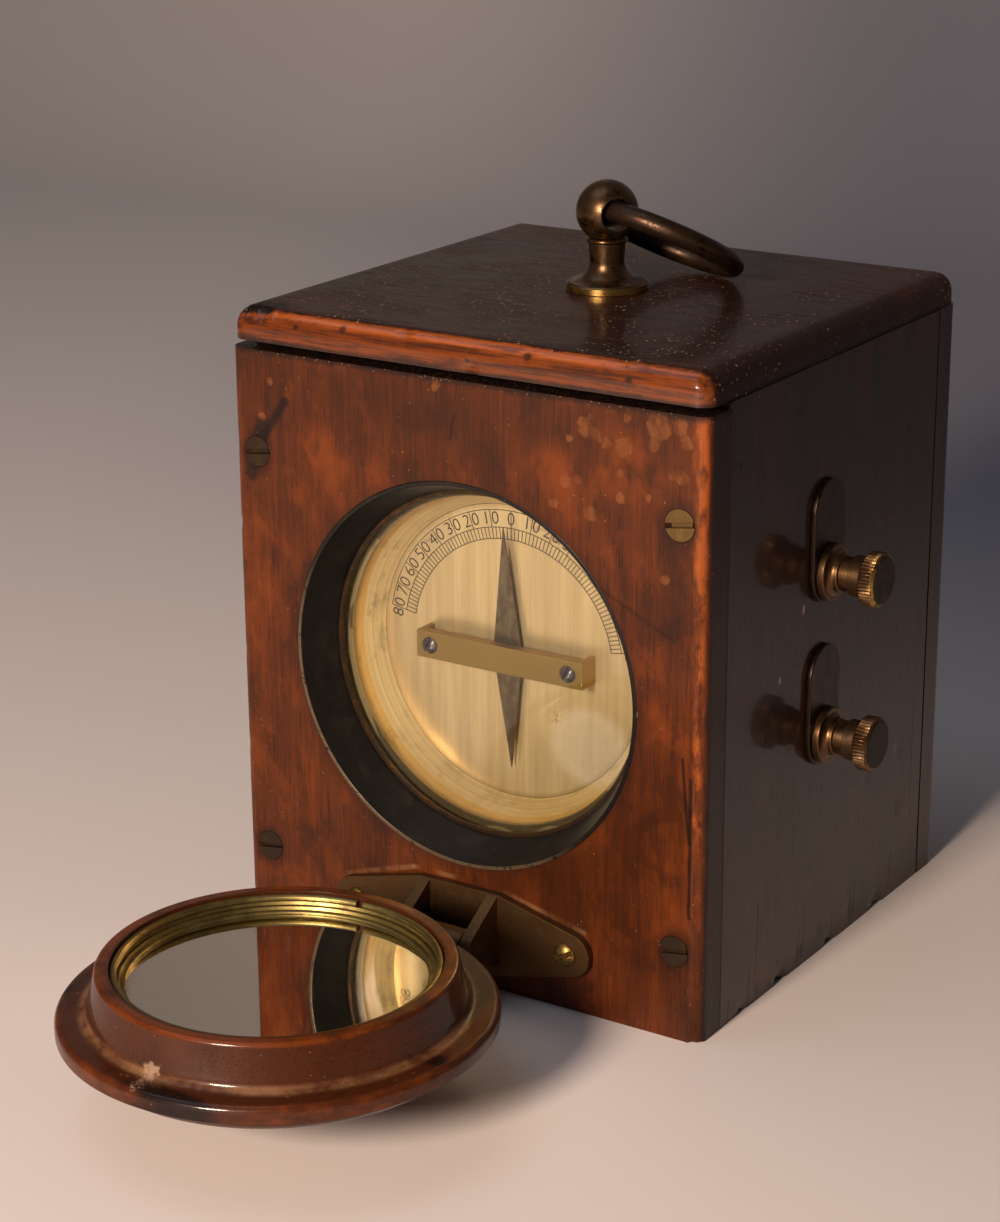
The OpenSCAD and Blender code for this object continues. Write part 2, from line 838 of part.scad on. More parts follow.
module hinge_arm() {
    color(bronze)
        difference() {
            union() {
                translate([-arm_w / 2, pin_y - arm_l, hinge_z - arm_t / 2])
                    cube([arm_w, arm_l, arm_t]);
                translate([0, pin_y - arm_l, hinge_z - arm_t / 2])
                    cylinder(h = arm_t, d = arm_w);
                translate([0, pin_y, hinge_z])
                    rotate([0, 90, 0])
                        cylinder(h = arm_w, r = knuckle_r, center = true);
                translate([-arm_w / 2, pin_y, hinge_z - heel_h])
                    cube([arm_w, heel_reach, heel_h]);
            }
            translate([0, pin_y, hinge_z])
                rotate([0, 90, 0])
                    cylinder(h = 2 * arm_w, d = pin_d + 2 * run_gap, center = true);
            at_arm_screws()
                countersunk_hole(arm_screw_head, arm_screw_d, arm_screw_len);
        }
}

module hinge_arm_screws() {
    color(dark_brass)
        at_arm_screws()
            countersunk_screw(arm_screw_head, arm_screw_d, arm_screw_len, slot_turn = 20);
}

module bore_liner() {
    color(black)
        at_depth(0)
            rotate_extrude()
                polygon([
                    [recess_r, 0], [recess_r + liner_t, 0],
                    [recess_back_r + liner_t, liner_depth], [recess_back_r, liner_depth]
                ]);
}

// The four lug places round the bezel and drum, at a depth
module at_lugs(d) {
    at_depth(d)
        for (a = [45 : 90 : 315])
            rotate([0, 0, a])
                translate([lug_circle, 0, 0])
                    children();
}

// Flat lugs of a ring, joined to it
module lug_plate(d, t) {
    difference() {
        union() {
            at_lugs(d)
                cylinder(h = t, r = lug_r);
            at_depth(d)
                for (a = [45 : 90 : 315])
                    rotate([0, 0, a])
                        translate([bezel_r - lug_root, -lug_r, 0])
                            cube([lug_reach + lug_root, 2 * lug_r, t]);
        }
        at_lugs(d - cut)
            cylinder(h = t + 2 * cut, d = drum_screw_d + 2 * fit_gap);
    }
}

module glass_bezel() {
    seat_r = recess_back_r + liner_t + liner_tail * taper_slope + fit_gap;
    color(brass) {
        at_depth(front_t)
            difference() {
                cylinder(h = drum_front - front_t, r = bezel_r);
                translate([0, 0, -cut])
                    cylinder(h = drum_front, r = bezel_lip_r);
                translate([0, 0, -cut])
                    cylinder(h = liner_tail + cut, r = seat_r);
                translate([0, 0, glass_front - front_t])
                    cylinder(h = glass_t + cut, r = glass_r + fit_gap);
            }
        lug_plate(front_t, drum_front - front_t);
    }
}

module dial_glass() {
    color("lightcyan", 0.3)
        at_depth(glass_front)
            cylinder(h = glass_t, r = glass_r);
}

module movement_drum() {
    bed_r = dial_r + fit_gap;
    color(brass) {
        at_depth(0)
            difference() {
                rotate_extrude()
                    polygon([
                        [0, dial_back], [bed_r, dial_back], [bed_r, dial_front], [drum_r, cone_front],
                        [drum_r, drum_front], [bezel_r, drum_front], [bezel_r, drum_front + drum_flange_t],
                        [drum_r + drum_t, drum_front + drum_flange_t], [drum_r + drum_t, cone_front],
                        [bed_r + drum_t, dial_front], [bed_r + drum_t, drum_back], [0, drum_back]
                    ]);
                cylinder(h = drum_back + cut, d = arbor_hole_d);
            }
        lug_plate(drum_front, drum_flange_t);
    }
}

module drum_screws() {
    color(dark_brass)
        at_lugs(drum_front + drum_flange_t)
            round_head_screw(
                drum_screw_head, drum_screw_head_h, drum_screw_d,
                drum_screw_len, slot_turn = 15
            );
}

module dial_plate() {
    color(dial_gold)
        at_depth(dial_front)
            difference() {
                cylinder(h = dial_t, r = dial_r);
                translate([0, 0, -cut])
                    cylinder(h = dial_t + 2 * cut, d = arbor_hole_d);
                for (x = [-bridge_screw_span / 2, bridge_screw_span / 2])
                    translate([x, 0, -cut])
                        cylinder(h = dial_t + 2 * cut, d = bridge_screw_d + 2 * fit_gap);
            }
}

module bridge_bar() {
    color(brass)
        at_depth(bridge_front)
            difference() {
                union() {
                    translate([-bridge_l / 2, -bridge_w / 2, 0])
                        cube([bridge_l, bridge_w, bridge_t]);
                    for (x = [-bridge_l / 2, bridge_l / 2 - bridge_wall])
                        translate([x, -bridge_w / 2, 0])
                            cube([bridge_wall, bridge_w, bridge_out]);
                    for (x = [-bridge_screw_span / 2, bridge_screw_span / 2])
                        translate([x, 0, bridge_t / 2])
                            cylinder(h = bridge_out - bridge_t / 2, d = bridge_foot_d);
                }
                translate([0, 0, bridge_t - pivot_depth])
                    cylinder(h = bridge_t, d = pivot_d + 2 * run_gap);
                for (x = [-bridge_screw_span / 2, bridge_screw_span / 2])
                    translate([x, 0, -cut])
                        cylinder(h = bridge_out + 2 * cut, d = bridge_screw_d + 2 * fit_gap);
            }
}

module bridge_screws() {
    color(steel)
        for (x = [-bridge_screw_span / 2, bridge_screw_span / 2])
            at_depth(bridge_front)
                translate([x, 0, 0])
                    rotate([180, 0, 0])
                        round_head_screw(
                            bridge_screw_head, bridge_screw_head_h, bridge_screw_d,
                            bridge_out + dial_t, slot_turn = 70
                        );
}

// Turns what swings with the needle to where it rests
module at_needle(d) {
    at_depth(d)
        rotate([0, 0, -pointer_rest])
            children();
}

module pointer() {
    color(steel)
        at_needle(pointer_front)
            difference() {
                union() {
                    linear_extrude(pointer_t)
                        polygon([
                            [0, -pointer_l / 2 - pointer_lead], [pointer_w / 2, 0],
                            [0, pointer_l / 2 - pointer_lead], [-pointer_w / 2, 0]
                        ]);
                    translate([0, 0, (pointer_t - hub_t) / 2])
                        cylinder(h = hub_t, d = hub_d);
                }
                translate([0, 0, -hub_t])
                    cylinder(h = 3 * hub_t, d = arbor_d + 2 * fit_gap);
            }
}

module pointer_arbor() {
    start = bridge_back + side_gap;
    finish = cock_front - side_gap;
    color(steel) {
        at_depth(start)
            cylinder(h = finish - start, d = arbor_d);
        at_depth(bridge_back - pivot_depth + rest_gap)
            cylinder(h = finish - bridge_back + 2 * pivot_depth - 2 * rest_gap, d = pivot_d);
    }
}

module magnet_needle() {
    color(steel)
        at_needle(coil_mid - magnet_t / 2)
            difference() {
                linear_extrude(magnet_t)
                    polygon([
                        [0, -magnet_l / 2], [magnet_w / 2, 0], [0, magnet_l / 2], [-magnet_w / 2, 0]
                    ]);
                translate([0, 0, -cut])
                    cylinder(h = magnet_t + 2 * cut, d = arbor_d + 2 * fit_gap);
            }
}

// A block of the coil centred on its window, local X along the bobbin
module coil_block(x, y, z) {
    translate([0, -z / 2, -y / 2])
        cube([x, z, y]);
}

// Bobbin to the right of the arbor: a window tube with a cheek at each end
module bobbin() {
    at_depth(coil_mid)
        translate([coil_gap / 2, 0, 0])
            difference() {
                union() {
                    coil_block(coil_x, window_y + 2 * bobbin_t, window_z + 2 * bobbin_t);
                    for (x = [0, coil_x - bobbin_t])
                        translate([x, 0, 0])
                            coil_block(bobbin_t, coil_y, coil_z);
                }
                translate([-cut, 0, 0])
                    coil_block(coil_x + 2 * cut, window_y, window_z);
            }
}

// Wire wound between the cheeks of that bobbin
module winding() {
    at_depth(coil_mid)
        translate([coil_gap / 2 + bobbin_t, 0, 0])
            difference() {
                coil_block(coil_x - 2 * bobbin_t, coil_y - 2 * winding_inset, coil_z - 2 * winding_inset);
                translate([-cut, 0, 0])
                    coil_block(coil_x, window_y + 2 * bobbin_t, window_z + 2 * bobbin_t);
            }
}

module left_bobbin() {
    color(black)
        mirror([1, 0, 0])
            bobbin();
}

module right_bobbin() {
    color(black)
        bobbin();
}

module left_winding() {
    color(copper_silk)
        mirror([1, 0, 0])
            winding();
}

module right_winding() {
    color(copper_silk)
        winding();
}

// The four pillar places, at a depth
module at_pillars(d) {
    at_depth(d)
        for (x = [-pillar_offset, pillar_offset])
            for (y = [-pillar_offset, pillar_offset])
                translate([x, y, 0])
                    children();
}

module movement_pillars() {
    color(brass)
        at_pillars(drum_back)
            difference() {
                cylinder(h = coil_y, d = pillar_d);
                translate([0, 0, coil_y - cock_screw_bite - fit_gap])
                    cylinder(h = cock_screw_bite + cut, d = cock_screw_d + 2 * fit_gap);
            }
}

module back_cock() {
    color(brass)
        difference() {
            at_depth(cock_front)
                translate([-cock_w / 2, -cock_w / 2, 0])
                    cube([cock_w, cock_w, cock_t]);
            at_depth(cock_front - cut)
                cylinder(h = cock_t + 2 * cut, d = pivot_d + 2 * run_gap);
            at_pillars(cock_front - cut)
                cylinder(h = cock_t + 2 * cut, d = cock_screw_d + 2 * fit_gap);
        }
}

module back_cock_screws() {
    color(steel)
        at_pillars(cock_front + cock_t)
            round_head_screw(
                cock_screw_head, cock_screw_head_h, cock_screw_d,
                cock_t + cock_screw_bite, slot_turn = 40
            );
}

// Thin plate with round ends whose lower end carries a terminal
module terminal_plate(z) {
    r = terminal_plate_w / 2;
    straight = terminal_plate_h - terminal_plate_w;
    at_terminal(z)
        difference() {
            union() {
                cylinder(h = terminal_plate_t, r = r);
                translate([-straight, 0, 0])
                    cylinder(h = terminal_plate_t, r = r);
                translate([-straight, -r, 0])
                    cube([straight, 2 * r, terminal_plate_t]);
            }
            translate([0, 0, -cut])
                cylinder(h = terminal_plate_t + 2 * cut, d = stud_d + 2 * fit_gap);
        }
}

// Turned post: flange, cove and shoulder outside, threaded at both ends
module terminal_post(z) {
    flange_r = post_flange_d / 2;
    shoulder_r = shoulder_d / 2;
    edge_r = 0.3;
    flange_end = terminal_plate_t + post_flange_t;
    cove_r = min(flange_r - shoulder_r - 2 * edge_r, shoulder_l - 2 * edge_r);
    at_terminal(z) {
        rotate_extrude()
            polygon(concat(
                [[0, terminal_plate_t]],
                arc(flange_r - edge_r, terminal_plate_t + edge_r, edge_r, -90, 0),
                arc(flange_r - edge_r, flange_end - edge_r, edge_r, 0, 90),
                arc(shoulder_r + cove_r, flange_end + cove_r, cove_r, 270, 180),
                arc(shoulder_r - edge_r, shoulder_end - edge_r, edge_r, 0, 90),
                [[0, shoulder_end]]
            ));
        translate([0, 0, -terminal_tail])
            cylinder(h = terminal_tail + stud_end, d = stud_d);
    }
}

// Loose collar under the nut that clamps the wire
module clamp_collar(z) {
    at_terminal(z)
        translate([0, 0, shoulder_end + rest_gap / 2])
            difference() {
                cylinder(h = collar_l - rest_gap / 2, d = collar_d);
                translate([0, 0, -cut])
                    cylinder(h = collar_l + 2 * cut, d = stud_d + 2 * run_gap);
            }
}

// Points of the ridged rim of a thumb nut
function knurl_points() =
    [for (i = [0 : 2 * knurl_count - 1])
        let (r = nut_rim_d / 2 - (i % 2) * knurl_depth, a = 180 * i / knurl_count)
        [r * cos(a), r * sin(a)]];

module thumb_nut(z) {
    bevel = 0.5;
    rim_r = nut_rim_d / 2 - knurl_depth;
    start = collar_end + rest_gap / 2;
    at_terminal(z)
        difference() {
            union() {
                translate([0, 0, start])
                    cylinder(h = nut_rim_start - start, d = nut_shank_d);
                translate([0, 0, nut_rim_start])
                    cylinder(h = bevel, r1 = rim_r - bevel, r2 = rim_r);
                translate([0, 0, nut_rim_start + bevel])
                    linear_extrude(nut_rim_l - 2 * bevel)
                        polygon(knurl_points());
                translate([0, 0, nut_end - bevel])
                    cylinder(h = bevel, r1 = rim_r, r2 = rim_r - bevel);
            }
            translate([0, 0, start - cut])
                cylinder(h = stud_end + side_gap - start + cut, d = stud_d + 2 * run_gap);
        }
}

module inner_washer(z) {
    at_terminal(z)
        translate([0, 0, -side_t - washer_t])
            difference() {
                cylinder(h = washer_t, d = inner_washer_d);
                translate([0, 0, -cut])
                    cylinder(h = washer_t + 2 * cut, d = stud_d + 2 * fit_gap);
            }
}

module inner_nut(z) {
    at_terminal(z)
        translate([0, 0, -side_t - washer_t - inner_nut_t])
            difference() {
                cylinder(h = inner_nut_t, d = inner_nut_d, $fn = 6);
                translate([0, 0, -cut])
                    cylinder(h = inner_nut_t + 2 * cut, d = stud_d + 2 * fit_gap);
            }
}

// Insulated wire from a terminal's tail to the cheek of the right bobbin
module lead_wire(z, rise) {
    from = [case_w / 2 - terminal_tail, -terminal_y, z];
    to = [coil_edge, front_y + coil_mid + coil_y / 2 - bobbin_t - lead_d, dial_z + rise];
    curve = [from, from - [lead_bow, 0, 0], to + [lead_run, 0, 0], to];
    path = [for (i = [0 : lead_steps]) bezier(curve, i / lead_steps)];
    last = lead_steps;
    along = [for (i = [0 : last])
        i == 0 || i == last ? [-1, 0, 0] : (path[i + 1] - path[i - 1]) / norm(path[i + 1] - path[i - 1])];
    points = [for (i = [0 : last])
        let (side_dir = cross(along[i], [0, 0, 1]), s = side_dir / norm(side_dir), u = cross(s, along[i]))
        for (k = [0 : lead_sides - 1])
            let (a = 360 * k / lead_sides)
            path[i] + lead_d / 2 * (cos(a) * s + sin(a) * u)];
    walls = [for (i = [0 : last - 1])
        for (k = [0 : lead_sides - 1])
            let (a = i * lead_sides + k, b = i * lead_sides + (k + 1) % lead_sides)
            for (face = [[a, b, a + lead_sides], [b, b + lead_sides, a + lead_sides]])
                face];
    start_cap = [for (k = [1 : lead_sides - 2]) [0, k + 1, k]];
    base = last * lead_sides;
    end_cap = [for (k = [1 : lead_sides - 2]) [base, base + k, base + k + 1]];
    polyhedron(points, concat(walls, start_cap, end_cap));
}

module upper_terminal_plate() { color(bronze) terminal_plate(upper_terminal_z); }
module lower_terminal_plate() { color(bronze) terminal_plate(lower_terminal_z); }
module upper_terminal_post() { color(brass) terminal_post(upper_terminal_z); }
module lower_terminal_post() { color(brass) terminal_post(lower_terminal_z); }
module upper_clamp_collar() { color(brass) clamp_collar(upper_terminal_z); }
module lower_clamp_collar() { color(brass) clamp_collar(lower_terminal_z); }
module upper_thumb_nut() { color(gold_brass) thumb_nut(upper_terminal_z); }
module lower_thumb_nut() { color(gold_brass) thumb_nut(lower_terminal_z); }
module upper_inner_washer() { color(brass) inner_washer(upper_terminal_z); }
module lower_inner_washer() { color(brass) inner_washer(lower_terminal_z); }
module upper_inner_nut() { color(brass) inner_nut(upper_terminal_z); }
module lower_inner_nut() { color(brass) inner_nut(lower_terminal_z); }
module upper_lead_wire() { color(copper_silk) lead_wire(upper_terminal_z, lead_rise); }
module lower_lead_wire() { color(copper_silk) lead_wire(lower_terminal_z, -lead_rise); }

front_panel();
back_panel();
left_side();
right_side();
base_board();
lid();
front_panel_screws();
back_panel_screws();
ring_post();
ring_post_washer();
ring_post_nut();
carrying_ring();
cover_body();
cover_mirror();
mirror_bezel();
mirror_spring_ring();
hinge_bracket();
hinge_bracket_screws();
hinge_pin();
hinge_arm();
hinge_arm_screws();
bore_liner();
glass_bezel();
dial_glass();
movement_drum();
drum_screws();
dial_plate();
bridge_bar();
bridge_screws();
pointer();
pointer_arbor();
magnet_needle();
left_bobbin();
right_bobbin();
left_winding();
right_winding();
movement_pillars();
back_cock();
back_cock_screws();
upper_terminal_plate();
upper_terminal_post();
upper_clamp_collar();
upper_thumb_nut();
upper_inner_washer();
upper_inner_nut();
upper_lead_wire();
lower_terminal_plate();
lower_terminal_post();
lower_clamp_collar();
lower_thumb_nut();
lower_inner_washer();
lower_inner_nut();
lower_lead_wire();
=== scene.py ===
"""Finished pieces, materials and stage for a portable needle galvanometer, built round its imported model."""

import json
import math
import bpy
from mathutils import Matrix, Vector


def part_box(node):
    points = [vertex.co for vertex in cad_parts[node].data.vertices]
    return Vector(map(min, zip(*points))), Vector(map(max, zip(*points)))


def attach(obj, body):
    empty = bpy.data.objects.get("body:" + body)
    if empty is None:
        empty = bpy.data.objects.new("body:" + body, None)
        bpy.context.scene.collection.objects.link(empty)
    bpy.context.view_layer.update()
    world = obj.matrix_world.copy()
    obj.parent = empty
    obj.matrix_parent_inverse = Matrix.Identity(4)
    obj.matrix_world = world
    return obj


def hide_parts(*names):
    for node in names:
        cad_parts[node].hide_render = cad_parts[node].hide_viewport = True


bl_info = {
    "name": "Needle galvanometer",
    "version": (1, 0, 0),
    "blender": (4, 5, 0),
    "location": "3D View > Sidebar > Galvanometer",
    "description": "Finishes the packed galvanometer with worn wood, old brass, a scale and a stage",
    "category": "Object",
}

from functools import reduce

import bmesh
import bpy
from mathutils import Matrix, Vector, noise

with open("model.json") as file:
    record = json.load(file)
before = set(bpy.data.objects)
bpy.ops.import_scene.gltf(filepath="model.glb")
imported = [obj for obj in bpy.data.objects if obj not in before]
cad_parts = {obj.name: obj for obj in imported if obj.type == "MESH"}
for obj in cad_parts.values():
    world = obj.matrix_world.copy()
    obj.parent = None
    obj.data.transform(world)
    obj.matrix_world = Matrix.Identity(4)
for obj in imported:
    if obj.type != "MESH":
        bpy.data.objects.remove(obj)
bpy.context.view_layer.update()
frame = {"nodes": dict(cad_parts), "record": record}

MM = 0.001
# Points nearer to each other than this, in metres, are one
WELD = 2e-6
BODY_OF = {node: body for body, nodes in frame["record"]["behaviour"]["bodies"].items() for node in nodes}


def span(*nodes):
    """Lowest and highest corner of one or more nodes together, in millimetres."""
    boxes = [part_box(node) for node in nodes]
    low = Vector([min(box[0][i] for box in boxes) for i in range(3)])
    high = Vector([max(box[1][i] for box in boxes) for i in range(3)])
    return low / MM, high / MM


# Places of the pieces that marks and lines follow, in millimetres
CASE_LOW, CASE_HIGH = span("front_panel", "back_panel", "left_side", "right_side", "lid")
LEFT_X, RIGHT_X = CASE_LOW.x, CASE_HIGH.x
FRONT_Y, BACK_Y = CASE_LOW.y, CASE_HIGH.y
LID_LOW, LID_HIGH = span("lid")
DIAL_LOW, DIAL_HIGH = span("dial_plate")
DIAL_Z = (DIAL_LOW.z + DIAL_HIGH.z) / 2
COVER_LOW, COVER_HIGH = span("cover_body")
COVER_Y = (COVER_LOW.y + COVER_HIGH.y) / 2
COVER_R = (COVER_HIGH.x - COVER_LOW.x) / 2
# Radius of the cover's fillet, and its height over the cover's underside
FILLET_R, FILLET_H = 32.7, 6.7
SCREWS_LOW, SCREWS_HIGH = span("front_panel_screws")
SCREW_HEAD_R = 2.9


# Looks that a user may change


def tint(name, description, default):
    """Property for a colour as it is seen on screen."""
    return bpy.props.FloatVectorProperty(
        name=name, description=description, default=default, subtype="COLOR_GAMMA", size=3, min=0.0, max=1.0
    )


def length(name, description, default):
    """Property for a length, given in millimetres and kept in metres."""
    return bpy.props.FloatProperty(
        name=name, description=description, default=default * MM, subtype="DISTANCE", unit="LENGTH", min=0.0,
        precision=5,
    )


def angle(name, description, default):
    """Property for an angle, given in degrees and kept in radians."""
    return bpy.props.FloatProperty(
        name=name, description=description, default=math.radians(default), subtype="ANGLE", unit="ROTATION"
    )


def power(name, description, default):
    """Property for the power of a lamp."""
    return bpy.props.FloatProperty(
        name=name, description=description, default=default, min=0.0, subtype="POWER"
    )


class GalvoWood(bpy.types.PropertyGroup):
    """Colours and wear of the wooden pieces."""

    red: tint("Red brown", "Body colour of the front board", (0.30, 0.137, 0.044))
    # Also the colour of the highlight painted towards the lid's front right corner
    orange: tint("Worn orange", "Where handling has thinned the varnish", (0.445, 0.21, 0.06))
    # Also the colour of highlights painted along the right front arris and the lid's front edge
    ember: tint("Rubbed edge", "Nearly bare wood along the handled edges", (0.62, 0.315, 0.115))
    # Also the colour of the shade painted on the front board
    dark: tint("Dark grain", "Dark figure in the wood", (0.17, 0.082, 0.038))
    side: tint("Side boards", "Body colour of the sides and the back", (0.158, 0.10, 0.086))
    lid: tint("Lid", "Body colour of the lid's top", (0.155, 0.078, 0.045))
    cover: tint("Cover", "Body colour of the turned cover", (0.26, 0.12, 0.045))
    # Also the colour of the shade painted in the gap under the lid
    pore: tint("Pores", "Fine open pores and grime", (0.055, 0.028, 0.02))
    dust: tint("Dust", "Settled dust and old polish", (0.60, 0.44, 0.30))
    lint: tint("Pale dust", "Dust that lies on the lid", (0.80, 0.68, 0.54))
    drop: tint("Dried drops", "Spots of old polish near the corner", (0.50, 0.30, 0.155))
    paste: tint("Dried paste", "Pale spot beside the recess", (0.70, 0.60, 0.53))
    chip: tint("Chips", "Pale chips in the side", (0.66, 0.58, 0.50))
    crust: tint("Crust", "Crumbly residue on the cover's rim", (0.66, 0.55, 0.45))
    arris: length("Softened edge", "Width of the softened edges of the boards", 0.45)
    unevenness: length("Unevenness", "How far worn faces leave the true plane", 0.09)


class GalvoMetal(bpy.types.PropertyGroup):
    """Colours of the metal pieces and of the lacquered lining."""

    bronze: tint("Dark bronze", "Old brass with a full patina", (0.29, 0.215, 0.145))
    umber: tint("Brown brass", "Handled patina", (0.44, 0.33, 0.19))
    copper: tint("Copper brown", "Reddish brown of long handled bronze", (0.40, 0.295, 0.225))
    slate: tint("Slate bronze", "Dark grey patina of the flat plates", (0.19, 0.172, 0.16))
    shade: tint("Patina", "Darkest patina in hollows", (0.12, 0.085, 0.06))
    brass: tint("Brass", "Handled brass", (0.66, 0.53, 0.30))
    # Also the colour of the highlight painted on the drum's ridge
    gold: tint("Bright brass", "Freshly rubbed brass", (0.87, 0.70, 0.38))
    olive: tint("Lacquered brass", "Brass under yellowed lacquer", (0.62, 0.55, 0.34))
    straw: tint("Bezel brass", "Duller brass round the mirror", (0.55, 0.48, 0.28))
    steel: tint("Blued steel", "Screws and needle of blued steel", (0.36, 0.35, 0.40))
    bloom: tint("Steel bloom", "Browner bloom on the blued steel", (0.42, 0.37, 0.33))
    needle: tint("Needle bronze", "Body colour of the pointer", (0.37, 0.31, 0.24))
    needle_worn: tint("Worn needle", "Lighter patches of the pointer", (0.49, 0.43, 0.35))
    lacquer: tint("Black lacquer", "Lining of the recess", (0.042, 0.029, 0.017))
    lacquer_brown: tint("Brown lacquer", "Where the lining has browned", (0.115, 0.09, 0.05))
    # Also the colour of the highlight painted on the lining's lower left edge
    lacquer_rubbed: tint("Rubbed lacquer", "Bare metal on the lining's front edge", (0.60, 0.50, 0.38))
    lacquer_dust: tint("Dust in the recess", "Specks on the lining", (0.50, 0.42, 0.27))
    bowl: tint("Turned bowl", "Pale brass of the drum round the dial", (0.95, 0.85, 0.65))
    bowl_dirt: tint("Bowl tarnish", "Tarnished patches of the drum", (0.36, 0.28, 0.14))
    bowl_low: tint("Lower bowl", "Deeper colour of the drum's lower half", (0.42, 0.33, 0.15))
    # Colour of the shade painted on the drum's wall
    bowl_wall: tint("Bowl wall", "Dark wall of the drum behind the glass", (0.20, 0.155, 0.075))
    edge: length("Broken edge", "Width of the broken edges of metal pieces", 0.12)


class GalvoDial(bpy.types.PropertyGroup):
    """Dial, scale and mirror."""

    plate: tint("Dial plate", "Gilt dial plate", (0.88, 0.785, 0.60))
    plate_worn: tint("Worn gilding", "Greyer gilding where it is worn", (0.78, 0.685, 0.52))
    plate_stain: tint("Dial stains", "Brown stains on the dial", (0.36, 0.25, 0.12))
    plate_rim: tint("Dial rim", "Darker gilding at the dial's edge", (0.55, 0.45, 0.26))
    plate_fleck: tint("Dial flecks", "Small spots on the dial", (0.40, 0.30, 0.17))
    ink: tint("Ink", "Filling of the scale", (0.06, 0.045, 0.03))
    ink_worn: tint("Worn ink", "Where the filling is thin", (0.30, 0.25, 0.17))
    mirror: tint("Mirror", "Silvering of the mirror", (0.91, 0.90, 0.87))
    mirror_spoiled: tint("Spoiled silvering", "Specks and edge of the silvering", (0.36, 0.31, 0.22))
    tick_in: length("Tick start", "Inner radius of the ticks", 21.65)
    tick_out: length("Tick end", "Outer radius of the ticks", 23.8)
    number_r: length("Number radius", "Radius at the middle of the numbers", 25.45)
    number_h: length("Number height", "Height of the numbers", 2.5)
    border_r: length("Border radius", "Radius of the line round the numbers", 27.1)
    line: length("Line width", "Width of the engraved lines", 0.15)
    relief: length("Ink relief", "Height of the ink above the plate", 0.03)


class GalvoCoils(bpy.types.PropertyGroup):
    """Colours of the coils behind the dial."""

    silk: tint("Silk grooves", "Green silk between the turns", (0.16, 0.23, 0.14))
    silk_light: tint("Silk", "Green silk on the turns", (0.38, 0.48, 0.30))
    rubber: tint("Hard rubber", "Black of the bobbins", (0.07, 0.06, 0.055))
    rubber_brown: tint("Browned rubber", "Where the bobbins have browned", (0.17, 0.13, 0.09))
    wire: length("Wire", "Width of one turn of the windings", 0.8)


class GalvoStage(bpy.types.PropertyGroup):
    """Floor, lamps and camera."""

    floor: tint("Floor", "Pale floor and backdrop", (0.925, 0.885, 0.86))
    # Colour of the shadow painted on the paper behind on the right
    far: tint("Far paper", "Where the graded paper is deepest, behind on the right", (0.62, 0.61, 0.64))
    key: tint("Key lamp", "Colour of the main lamp", (1.0, 0.905, 0.83))
    key_power: power("Key power", "Power of the main lamp", 10.7)
    fill_power: power("Fill power", "Power of the lamp that opens the shadows", 1.5)
    world: bpy.props.FloatProperty(
        name="Room light", description="Strength of the light from the room", default=0.05, subtype="FACTOR",
        min=0.0, max=1.0,
    )
    azimuth: angle("Camera turn", "Turn of the camera to the right of the front", 33.163)
    elevation: angle("Camera height", "Angle of the camera above the floor", 18.589)
    roll: angle("Camera roll", "Turn of the camera about its own line of sight", -0.383)
    distance: length("Camera distance", "From the camera to the point that it looks at", 564.164)
    lens: bpy.props.FloatProperty(
        name="Lens", description="Focal length on a sensor of 36 mm", default=84.10, min=1.0,
        subtype="DISTANCE_CAMERA", unit="CAMERA",
    )


# Shader graph


def linear(colour):
    """A screen colour as the light values that a shader takes, by the sRGB curve."""
    return tuple(c / 12.92 if c <= 0.04045 else ((c + 0.055) / 1.055) ** 2.4 for c in colour[:3]) + (1.0,)


class Value:
    """A shader socket that takes part in plain arithmetic."""

    def __init__(self, graph, socket):
        self.graph = graph
        self.socket = socket

    def __add__(self, other):
        return self.graph.maths("ADD", self, other)

    def __sub__(self, other):
        return self.graph.maths("SUBTRACT", self, other)

    def __rsub__(self, other):
        return self.graph.maths("SUBTRACT", other, self)

    def __mul__(self, other):
        return self.graph.maths("MULTIPLY", self, other)

    def __truediv__(self, other):
        return self.graph.maths("DIVIDE", self, other)

    def __rtruediv__(self, other):
        return self.graph.maths("DIVIDE", other, self)

    def __abs__(self):
        return self.graph.maths("ABSOLUTE", self)

    __radd__ = __add__
    __rmul__ = __mul__

    def least(self, other):
        """The smaller of the two."""
        return self.graph.maths("MINIMUM", self, other)

    def most(self, other):
        """The larger of the two."""
        return self.graph.maths("MAXIMUM", self, other)


